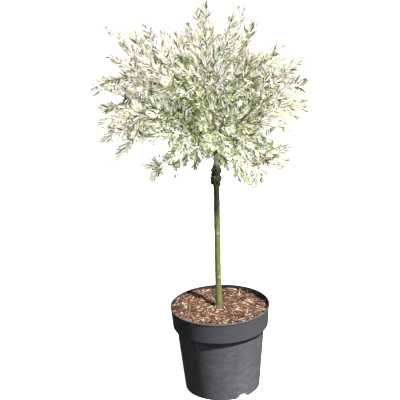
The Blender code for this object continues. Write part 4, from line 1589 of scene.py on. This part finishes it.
    def grow(self, limbs: Sequence[Limb]) -> list[Shoot]:
        """Grow the whole crown.

        Args:
            limbs: the boughs.

        Returns:
            Every shoot and twig.
        """
        chance = random.Random(SEED)
        goals = self.main_goals(chance) + self.fine_goals(chance)
        ways = np.array([goal.tip - goal.arrival * self.plume_way * goal.plume for goal in goals])
        centres = np.array([limb.tip + limb.ahead * self.bough_way for limb in limbs])
        nearest = np.argmin(np.linalg.norm(ways[:, None] - centres[None], axis=2), axis=1)
        shoots: list[Shoot] = []
        for index, limb in enumerate(limbs):
            shoots += self.spray(limb, [goals[place] for place in np.flatnonzero(nearest == index)], chance)
            shoots += self.inner_twigs(limb, chance)
        return shoots


@dataclass
class Leaves:
    """Arrays that hold one row for each leaf."""

    roots: Array
    ahead: Array
    across: Array
    lengths: Array
    widths: Array
    folds: Array
    curls: Array
    tints: Array
    plumes: Array

    def picked(self, chosen: Array) -> Leaves:
        """The leaves that are chosen."""
        return Leaves(*(getattr(self, name)[chosen] for name in self.__dataclass_fields__))


@dataclass
class LeafShape:
    """Folded and curled willow leaf on a short stalk."""

    # Places along it and its width there, as shares of the greatest
    stations: Table = ((0.14, 0.42), (0.42, 1.00), (0.74, 0.66))
    curl_back: float = 1.6  # how far it curls down again towards its tip
    faces: Table = ((2, 5, 6, 3), (3, 6, 7, 4), (5, 8, 9, 6), (6, 9, 10, 7))
    end_faces: Table = ((0, 2, 3), (0, 3, 4), (8, 1, 9), (9, 1, 10))

    def blades(self, leaves: Leaves) -> tuple[Array, Array, Array]:
        """Points and faces of many leaves.

        Args:
            leaves: the leaves.

        Returns:
            Points, four-sided faces and triangles.
        """
        normal = np.cross(leaves.ahead, leaves.across)
        size, fold = leaves.lengths[:, None], leaves.folds[:, None]
        curl = normal * size * leaves.curls[:, None]
        stalk, tip, *middles = (
            leaves.roots + (leaves.ahead * size * place + curl * (place - place * place * self.curl_back))
            for place in (0.0, 1.0, *(station[0] for station in self.stations)))
        rows = [stalk, tip]
        for middle, (_, width) in zip(middles, self.stations):
            half = (leaves.widths * width / 2.0)[:, None]
            side, lift = leaves.across * half * np.cos(fold), normal * half * np.sin(fold)
            rows += [middle - side + lift, middle, middle + side + lift]
        offsets = (np.arange(len(size)) * len(rows))[:, None, None]
        quads, triangles = (np.array(faces)[None] + offsets for faces in (self.faces, self.end_faces))
        return np.stack(rows, axis=1).reshape(-1, 3), quads.reshape(-1, 4), triangles.reshape(-1, 3)


@dataclass
class Foliage:
    """Dresses the crown's shoots with leaves and deals their tints by spray."""

    crown: Crown
    limbs: dict[str, Limb]
    sunlit: tuple[Array, Array]  # ends of the stretch of the stem that no leaf shades
    sun: Array
    sunlit_width: float = 0.0110
    # Distance from a shoot's tip, and there the leaves' spacing, length and angle to it in degrees
    from_tip: tuple[float, ...] = (0.0, 0.012, 0.030, 0.045, 0.080)
    spacing: tuple[float, ...] = (0.0028, 0.0030, 0.0037, 0.0054, 0.0060)
    length: tuple[float, ...] = (0.015, 0.023, 0.026, 0.023, 0.020)
    spread: tuple[float, ...] = (10.0, 22.0, 38.0, 54.0, 62.0)
    spacing_sway: Pair = (0.8, 1.2)
    spread_sway: float = 16.0
    roll_sway: float = 22.0
    pair_turn: float = 90.0  # degrees from one pair of leaves to the next
    pair_sway: float = 14.0
    length_range: Pair = (0.80, 0.36)  # the least, and what chance adds
    fold_range: Pair = (0.30, 0.55)
    curl_range: Pair = (0.34, 0.35)  # how much, and the share of leaves that curl down
    plume_growth: float = 1.14
    free_tip: float = 0.048  # a plume's leaves this near to its tip may cross the sky between the shoots
    width: Pair = (0.17, 0.24)  # of its length
    rise: float = 0.06  # how much leaves turn up
    facing: Triple = (0.60, 0.18, 0.90)  # share of up, outwards and chance in their upper side
    tuft: float = 0.030  # length of a shoot's coloured tuft
    tuft_sway: Pair = (0.7, 1.3)
    tuft_shell: float = 0.55  # share of the crown's half size inside which there are none
    older: float = 0.045  # distance from its tip where the leaves are darker
    outer: float = 0.70  # depth of the zones in the crown
    middle: float = 0.50
    zone_sway: float = 0.12
    green_middle: float = 0.62  # share of the crown's half width inside which tufts are greener
    lower_tufts: Pair = (0.35, 0.5)  # how far to the lower right they begin, and how far that strays
    green_side: float = 0.10  # how much greener the lower right is
    green_slope: float = 0.7
    greening: float = 0.6  # how much greener leaves are with each metre from the tip
    # Stretches of boughs that nothing hides: name, from and to as a share of its length, and half width
    bare_views: tuple[tuple[str, float, float, float], ...] = (
        ("right", 0.55, 1.0, 0.0045), ("leader", 0.26, 0.56, 0.0036))
    overhang: float = 0.008  # how far leaves may reach beyond the solids' box
    tints: tuple[Tint, ...] = tuple(Tint)
    # Name of the piece, its bark and the sides of its tubes, for the shoots and for the twigs
    woods: tuple[tuple[str, Mottled, int], ...] = (
        ("shoots", Mottled("shoot_bark", (0.050, 0.044, 0.022), (0.150, 0.135, 0.070)), 6),
        ("twigs", Mottled("twig_bark", (0.130, 0.100, 0.050), (0.290, 0.240, 0.130)), 5))

    def grow(self, shoots: Sequence[Shoot]) -> Leaves:
        """Put leaves on every shoot.

        Args:
            shoots: the crown's shoots and twigs.

        Returns:
            The leaves.
        """
        chance = random.Random(SEED + 1)
        rows: list[tuple] = []
        for shoot in shoots:
            total, travelled = shoot.length, 0.0
            tufts = self.tuft_zone((shoot.path[-1] - HEART) / CROWN_HALF, chance)
            sprays = {zone: deal(zone.value, chance) for zone in Zone}
            roll = chance.uniform(0.0, 360.0)
            while travelled < total * (1.0 - shoot.bare):
                spot, tangent = point_on(shoot.path, 1.0 - travelled / total)
                place = (spot - HEART) / CROWN_HALF
                shell = float(np.linalg.norm(place))
                greener = self.green_side * (place[0] - self.green_slope * place[2])
                # leaves deeper in the crown, or nearer its middle as seen from the front, are dealt darker
                # sprays: partly older leaves' own green, partly painted shade
                paleness = 0.5 * (shell + math.hypot(place[0], place[2])) - greener
                for turn in (roll, roll + 180.0):
                    strayed = paleness + chance.uniform(-self.zone_sway, self.zone_sway)
                    depth = strayed - travelled * self.greening
                    if travelled < self.tuft * chance.uniform(*self.tuft_sway) and shell > self.tuft_shell:
                        zone = tufts
                    elif depth > self.outer:
                        zone = Zone.OUTER if travelled < self.older else Zone.OLDER
                    else:
                        zone = Zone.MIDDLE if depth > self.middle else Zone.INNER
                    tint = self.tints.index(deal(sprays[zone].value, chance))
                    turned = turn + chance.uniform(-self.roll_sway, self.roll_sway)
                    draws = (chance.random(), chance.random(), chance.random())
                    rows.append((*spot, *tangent, turned, travelled, *draws, tint, shoot.plume))
                roll += self.pair_turn + chance.uniform(-self.pair_sway, self.pair_sway)
                spacing = float(np.interp(travelled, self.from_tip, self.spacing))
                travelled += spacing * chance.uniform(*self.spacing_sway)
        return self.shaped(np.array(rows))

    def tuft_zone(self, place: Array, chance: random.Random) -> Zone:
        """Zone of the tuft at a shoot's end.

        Args:
            place: the end, as shares of the crown's half sizes from its heart.
            chance: the seeded source of draws.

        Returns:
            The zone.
        """
        away = math.hypot(place[0], place[2]) + chance.uniform(-self.zone_sway, self.zone_sway)
        if away < self.green_middle:
            return Zone.MIDDLE_TUFTS
        start, sway = self.lower_tufts
        lower = place[0] - place[2] + chance.uniform(-sway, sway) > start
        return Zone.LOWER_TUFTS if lower else Zone.UPPER_TUFTS

    def shaped(self, table: Array) -> Leaves:
        """Work out every leaf's place and size.

        Args:
            table: spot, tangent, roll, distance from the shoot's tip, three draws, tint and whether it is
                on a plume, for each leaf.

        Returns:
            The leaves that stay within the crown.
        """
        spots, tangents, plumes = table[:, 0:3], table[:, 3:6], table[:, 12] > 0.5
        rolls, travelled, draw_a, draw_b, draw_c = table[:, 6:11].T
        chance = np.random.default_rng(SEED)
        spread = np.interp(travelled, self.from_tip, self.spread) + (draw_a - 0.5) * self.spread_sway
        ahead = unit(leaving(tangents, rolls, spread) + UP * self.rise)
        up, out, free = self.facing
        upper = unit(UP * up + unit(spots - HEART) * out + chance.normal(size=spots.shape) * free)
        least, added = self.length_range
        lengths = np.interp(travelled, self.from_tip, self.length) * (least + added * draw_b)
        lengths *= np.where(plumes, self.plume_growth, 1.0)
        widths = lengths * (self.width[0] + (self.width[1] - self.width[0]) * draw_c)
        folds = self.fold_range[0] + self.fold_range[1] * draw_a
        curls = self.curl_range[0] * (draw_b - self.curl_range[1])
        leaves = Leaves(spots, ahead, unit(np.cross(ahead, upper)), lengths, widths, folds, curls,
                        table[:, 11].astype(int), plumes)
        return leaves.picked(self.kept(leaves, travelled))

    def kept(self, leaves: Leaves, travelled: Array) -> Array:
        """Tell which leaves stay within the crown and hide no bare wood.

        Args:
            leaves: the leaves.
            travelled: distance of each from its shoot's tip.

        Returns:
            True for each leaf that is kept.
        """
        tips = leaves.roots + leaves.ahead * leaves.lengths[:, None]
        low, high = self.bounds()
        inside = (tips > low - self.overhang).all(axis=1) & (tips < high + self.overhang).all(axis=1)
        inside &= leaves.plumes & (travelled < self.free_tip) | (self.crown.edge.share(tips) < 1.0)
        middles = leaves.roots + leaves.ahead * leaves.lengths[:, None] * 0.5
        for name, start, end, width in self.bare_views:
            stretch = (point_on(self.limbs[name].points, share)[0] for share in (start, end))
            inside &= ~self.hides(middles, *stretch, width, EYE)
        return inside & ~self.hides(middles, *self.sunlit, self.sunlit_width, self.sun)

    def hides(self, points: Array, start: Array, end: Array, width: float, eye: Array) -> Array:
        """Tell which points lie in front of a stretch of wood.

        Args:
            points: one row for each.
            start: one end of the stretch.
            end: the other end.
            width: how near to it they hide it.
            eye: where it is looked at, or lit, from.

        Returns:
            True for each point that hides it.
        """
        along, looks = end - start, points - eye
        away = np.abs(looks @ unit(np.cross(along, start - eye)))
        flat = eye + unit(looks) * np.linalg.norm(start - eye)
        share = (flat - start) @ along / (along @ along)
        return (away < width) & (share > 0.0) & (share < 1.0) & (points[:, 1] < start[1] + width)

    @staticmethod
    def bounds() -> tuple[Array, Array]:
        """Lowest and highest corner of all the crown's solids."""
        boxes = [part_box(name) for name in MASSES]
        return np.min([low for low, _ in boxes], axis=0), np.max([high for _, high in boxes], axis=0)

    def build(self) -> None:
        """Make the twigs and the leaves in place of the masses' solids."""
        shoots = self.crown.grow(list(self.limbs.values()))
        for level, (name, wood, sides) in enumerate(self.woods):
            shape = Shapes()
            for shoot in shoots:
                if shoot.level == level:
                    shape.add_tube(shoot.path, shoot.radii, sides)
            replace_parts(shape.piece(name, wood.material(), "foliage"), *MASSES)
        leaves = self.grow(shoots)
        log.info("%d shoots and twigs, %d leaves", len(shoots), len(leaves.roots))
        for index, tint in enumerate(self.tints):
            shape, name = Shapes(), tint.name.lower()
            shape.add(*LeafShape().blades(leaves.picked(leaves.tints == index)))
            shape.piece(f"leaves_{name}", LeafSkin(f"leaf_{name}", *tint.value).material(), "foliage")


@dataclass
class Mulch:
    """Bed of shredded bark: a dark lumpy bed and the chips that lie on it."""

    pot: Pot
    stem: Stem
    level: float = 0.2385
    slope: float = -0.045
    lump: float = 0.0016
    cover: float = 0.0046  # depth of the loose chips
    rings: int = 40
    steps: int = 120
    bed_depth: float = 0.8  # of the cover, from the chips' level to the bed
    bed_relief: Relief = Relief(11, 12, 0.012)
    bed_height: float = 0.0009
    core: float = 0.006  # radius of the hole round the stem
    wall_gap: float = 0.0006
    foot_taper: float = 0.985
    foot_rise: float = 0.002  # of the bed's underside over the compost
    chips: int = 3300
    flat_chips: float = 0.05  # share of broad bark chips
    flake_length: Pair = (0.009, 0.016)
    flake_width: Pair = (0.45, 0.8)  # of its length
    flake_thickness: Pair = (0.0010, 0.0018)
    sliver_length: Pair = (0.008, 0.036)
    sliver_width: Pair = (0.0011, 0.0027)
    sliver_thickness: Pair = (0.35, 0.7)  # of its width
    bend: float = 0.16
    waver: float = 0.1
    uneven: Pair = (0.75, 1.1)
    # Places along a chip and how much of its width is left there
    stations: Table = ((-0.42, 0.55), (-0.10, 1.0), (0.22, 1.0), (0.44, 0.55))
    corners: Table = ((-1.0, -0.4), (0.7, -1.0), (1.0, 0.4), (-0.6, 1.0))
    points: Pair = (-0.08, 0.06)  # how far its ends stick out
    tilt: float = 16.0  # usual tilt and roll of a chip, in degrees
    roll: float = 22.0
    bury: Pair = (-0.55, 0.45)  # lowest and highest place of a chip, in shares of the cover
    chip_gap: float = 0.0004
    stem_room: float = 0.0095
    sharp: float = 40.0

    def height(self, x: Array, y: Array) -> Array:
        """Top of the mulch at places across and in depth."""
        lumps = np.sin(61.0 * x + 1.3) * np.cos(53.0 * y - 0.6) + 0.6 * np.sin(97.0 * y + 41.0 * x)
        return self.level + self.slope * x + self.lump * lumps

    def build_bed(self) -> bpy.types.Object:
        """Make the bed in place of the mulch's solid.

        Returns:
            The bed.
        """
        ring = circle(self.steps)[:, :2]
        inner = self.stem.centre(self.level)[:2] + ring * self.core
        outer = ring * (self.pot.inside_radius(self.level) - self.wall_gap)
        rings = []
        for share in np.linspace(0.0, 1.0, self.rings):
            flat = inner + (outer - inner) * share
            rings.append(np.column_stack((flat, self.height(*flat.T) - self.cover * self.bed_depth)))
        rings = np.array(rings)
        rings[..., 2] += self.bed_relief.at(rings) * self.bed_height
        foot = UP * (self.stem.ground + self.foot_rise)
        rim = rings[-1] * (self.foot_taper, self.foot_taper, 0.0) + foot
        core = rings[0] * FLAT + foot
        shape = Shapes()
        shape.add_rings(np.array([core, *rings, rim])[::-1], np.array([core.mean(axis=0)] * 2))
        bed = shape.piece("mulch_bed", Earth("mulch_bed_earth").material(), "bark_chip")
        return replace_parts(bed, "bark_mulch")

    def chip(self, chance: random.Random) -> tuple[Array, Array]:
        """Shape one chip: a bent splinter or a broad flake, with ragged ends.

        Args:
            chance: the seeded source of draws.

        Returns:
            Its four-cornered rings and its end points, round the origin and along X.
        """
        if chance.random() < self.flat_chips:
            length = chance.uniform(*self.flake_length)
            width = length * chance.uniform(*self.flake_width)
            thick = chance.uniform(*self.flake_thickness)
        else:
            length = chance.uniform(*self.sliver_length)
            width = chance.uniform(*self.sliver_width)
            thick = width * chance.uniform(*self.sliver_thickness)
        bend = chance.uniform(-self.bend, self.bend) * length
        rings = []
        for place, ragged in self.stations:
            size = width / 2.0 * ragged * chance.uniform(*self.uneven)
            rise = thick / 2.0 * chance.uniform(*self.uneven)
            middle = np.array((
                place * length, chance.uniform(-self.waver, self.waver) * width,
                bend * (1.0 - 4.0 * place * place)))
            rings.append([middle + np.array((0.0, size * across, rise * up)) for across, up in self.corners])
        rings = np.array(rings)
        points = np.array([(end * length, 0.0, 0.0) for end in self.points])
        return rings, rings[[0, -1]].mean(axis=1) + points

    def axes(self, chance: random.Random) -> Array:
        """Draw how a chip lies.

        Args:
            chance: the seeded source of draws.

        Returns:
            Its unit vectors along, across and up, one in each row.
        """
        bearing = math.degrees(chance.uniform(0.0, math.tau))
        ahead = heading(bearing, chance.gauss(0.0, self.tilt))
        roll = math.radians(chance.gauss(0.0, self.roll))
        across = unit(np.cross(UP, ahead))
        over = np.cross(ahead, across)
        return np.array((ahead, across * math.cos(roll) + over * math.sin(roll),
                         over * math.cos(roll) - across * math.sin(roll)))

    def build_chips(self) -> None:
        """Scatter the chips over the bed, one piece for each tint of wood."""
        chance = random.Random(SEED + 2)
        shapes = {wood: Shapes() for wood in CHIP_WOODS}
        weights = [wood.share for wood in CHIP_WOODS]
        foot = self.stem.centre(self.level)[:2]
        for _ in range(self.chips):
            rings, ends = self.chip(chance)
            axes = self.axes(chance)
            bearing = math.degrees(chance.uniform(0.0, math.tau))
            spot = heading(bearing, 0.0) * math.sqrt(chance.random()) * self.pot.inside_radius(self.level)
            spot[2] = self.height(spot[0], spot[1]) + chance.uniform(*self.bury) * self.cover
            rings, ends = rings @ axes + spot, ends @ axes + spot
            corners = rings.reshape(-1, 3)
            room = self.pot.inside_radius(corners[:, 2]) - self.chip_gap - np.hypot(*corners[:, :2].T)
            stem_gap = np.hypot(*(corners[:, :2] - foot).T) - self.stem_room
            wood = chance.choices(CHIP_WOODS, weights)[0]
            if room.min() > 0.0 and stem_gap.min() > 0.0:
                shapes[wood].add_rings(rings, ends)
        for wood, shape in shapes.items():
            shape.piece(wood.name.replace("chip", "chips"), wood.material(), "bark_chip", sharp=self.sharp)


@dataclass
class Studio:
    """Pale floor, one key light, a soft fill and the camera."""

    # The camera's tilt and roll in degrees, and focal length in pixels of a frame of this width
    pitch: float = 18.5
    roll: float = 2.43
    focal: float = 1083.1
    frame_width: float = 400.0
    half_pixel: float = 0.5
    sensor: float = 36.0
    sight: float = 200.0
    key_bearing: float = 39.0  # to the right of the camera, in degrees
    key_rise: float = 47.0
    key_distance: float = 5.0
    key_aim: float = 0.7  # height at which it shines
    key_size: float = 0.07
    key_power: float = 826.0
    key_open: float = 0.38  # share of it that wood and pot keep off, but no leaf
    key_colour: Colour = (1.0, 0.988, 0.968)
    no_blockers: tuple[str, ...] = ("leaves", "shoots", "twigs", "floor")
    fill_left: float = 0.32
    fill_right: float = 1.00
    fill_below: float = 0.14  # of the fill that comes from straight above
    fill_sides: Pair = (-0.9, 0.9)  # where it begins to change from left to right, and where it ends
    fill_heights: Pair = (-0.15, 0.75)  # and from below to above
    fill_colour: Colour = (0.95, 0.98, 1.0)
    floor_half: float = 60.0
    paper: Mottled = Mottled("floor_paper", (0.88, 0.88, 0.88), (0.92, 0.92, 0.92), Noise(3.0, 2.0))
    paper_roughness: float = 0.9
    paper_glow: float = 0.85

    def build_camera(self) -> None:
        """Set the camera where the photograph was taken from."""
        data = bpy.data.cameras.new("camera")
        data.sensor_width = self.sensor
        data.lens = self.sensor * self.focal / self.frame_width
        data.shift_x = -self.half_pixel / self.frame_width
        data.shift_y = self.half_pixel / self.frame_width
        data.clip_end = self.sight
        camera = placed("camera", data)
        camera.location = EYE
        tilt, roll = math.radians(90.0 - self.pitch), math.radians(-self.roll)
        turned = Matrix.Rotation(tilt, 3, "X") @ Matrix.Rotation(roll, 3, "Z")
        camera.rotation_euler = turned.to_euler("XYZ")
        bpy.context.scene.camera = camera

    def key_place(self) -> Array:
        """Place of the key light."""
        return self.key_aim * UP + heading(-90.0 + self.key_bearing, self.key_rise) * self.key_distance

    def build_key(self, name: str, share: float) -> bpy.types.Object:
        """Add a lamp of the key light, from the front right.

        Args:
            name: its name.
            share: share of the key's power.

        Returns:
            The lamp.
        """
        data = bpy.data.lights.new(name, "AREA")
        data.shape = "DISK"
        data.size = self.key_size
        data.energy = self.key_power * share
        data.color = self.key_colour
        lamp = placed(name, data)
        lamp.location = self.key_place()
        lamp.rotation_euler = (math.radians(90.0 - self.key_rise), 0.0, math.radians(self.key_bearing))
        return lamp

    def let_leaves_through(self, lamp: bpy.types.Object) -> None:
        """Let only what isn't a leaf or a twig keep a lamp's light off.

        Args:
            lamp: the lamp of the key's open share.
        """
        blockers = bpy.data.collections.new("key_blockers")
        for piece in bpy.context.scene.objects:
            if piece.type == "MESH" and not piece.name.startswith(self.no_blockers):
                blockers.objects.link(piece)
        lamp.light_linking.blocker_collection = blockers

    def build_fill(self) -> None:
        """Light the scene softly, more from above and from the right."""
        world = bpy.data.worlds.new("studio")
        bpy.context.scene.world = world
        tree = Tree(world)
        way = tree.node("ShaderNodeTexCoord", {}, {}, "Generated")
        side, up = (tree.node("ShaderNodeSeparateXYZ", {}, {0: way}, axis) for axis in "XZ")
        strength = side.stepped(*self.fill_sides) * (self.fill_right - self.fill_left) + self.fill_left
        strength = strength * (up.stepped(*self.fill_heights) * (1.0 - self.fill_below) + self.fill_below)
        background = tree.tree.nodes["Background"].inputs
        tree.feed(background["Color"], self.fill_colour)
        tree.feed(background["Strength"], strength)

    def build_floor(self) -> None:
        """Lay the pale floor."""
        shape = Shapes()
        corners = np.array(((-1.0, -1.0, 0.0), (1.0, -1.0, 0.0), (1.0, 1.0, 0.0), (-1.0, 1.0, 0.0)))
        shape.add(corners * self.floor_half, np.array([[0, 1, 2, 3]]))
        floor = shape.bare("floor")
        paper = Surface(self.paper.name)
        speckled = paper.mix(paper.noise(self.paper.pattern), self.paper.plain, self.paper.pale)
        paper.dress(speckled, self.paper_roughness)
        paper.shader.inputs["Emission Color"].default_value = (1.0, 1.0, 1.0, 1.0)
        paper.shader.inputs["Emission Strength"].default_value = self.paper_glow
        floor.data.materials.append(paper.owner)
        floor.visible_diffuse = False
        floor.visible_glossy = False

    def build(self) -> bpy.types.Object:
        """Set up the whole studio.

        Returns:
            The lamp of the key's open share.
        """
        self.build_camera()
        self.build_key("key", 1.0 - self.key_open)
        open_key = self.build_key("open_key", self.key_open)
        self.build_fill()
        self.build_floor()
        bpy.context.scene.view_settings.view_transform = "Standard"
        return open_key


def main() -> None:
    """Build the studio and every piece."""
    logging.basicConfig(level=logging.INFO, format="%(name)s: %(message)s")
    pot, stem, studio = Pot(), Stem(), Studio()
    open_key = studio.build()
    pot.build()
    frame["nodes"]["compost"].material_slots[0].material = Earth("compost_earth").material()
    mulch = Mulch(pot, stem)
    mulch.build_bed()
    mulch.build_chips()
    stem.build()
    stem.build_shoots()
    boughs = Boughs()
    limbs = boughs.limbs(stem)
    boughs.build(limbs)
    Foliage(Crown(), limbs, stem.sunlit(), studio.key_place()).build()
    studio.let_leaves_through(open_key)


if __name__ == "__main__":
    main()
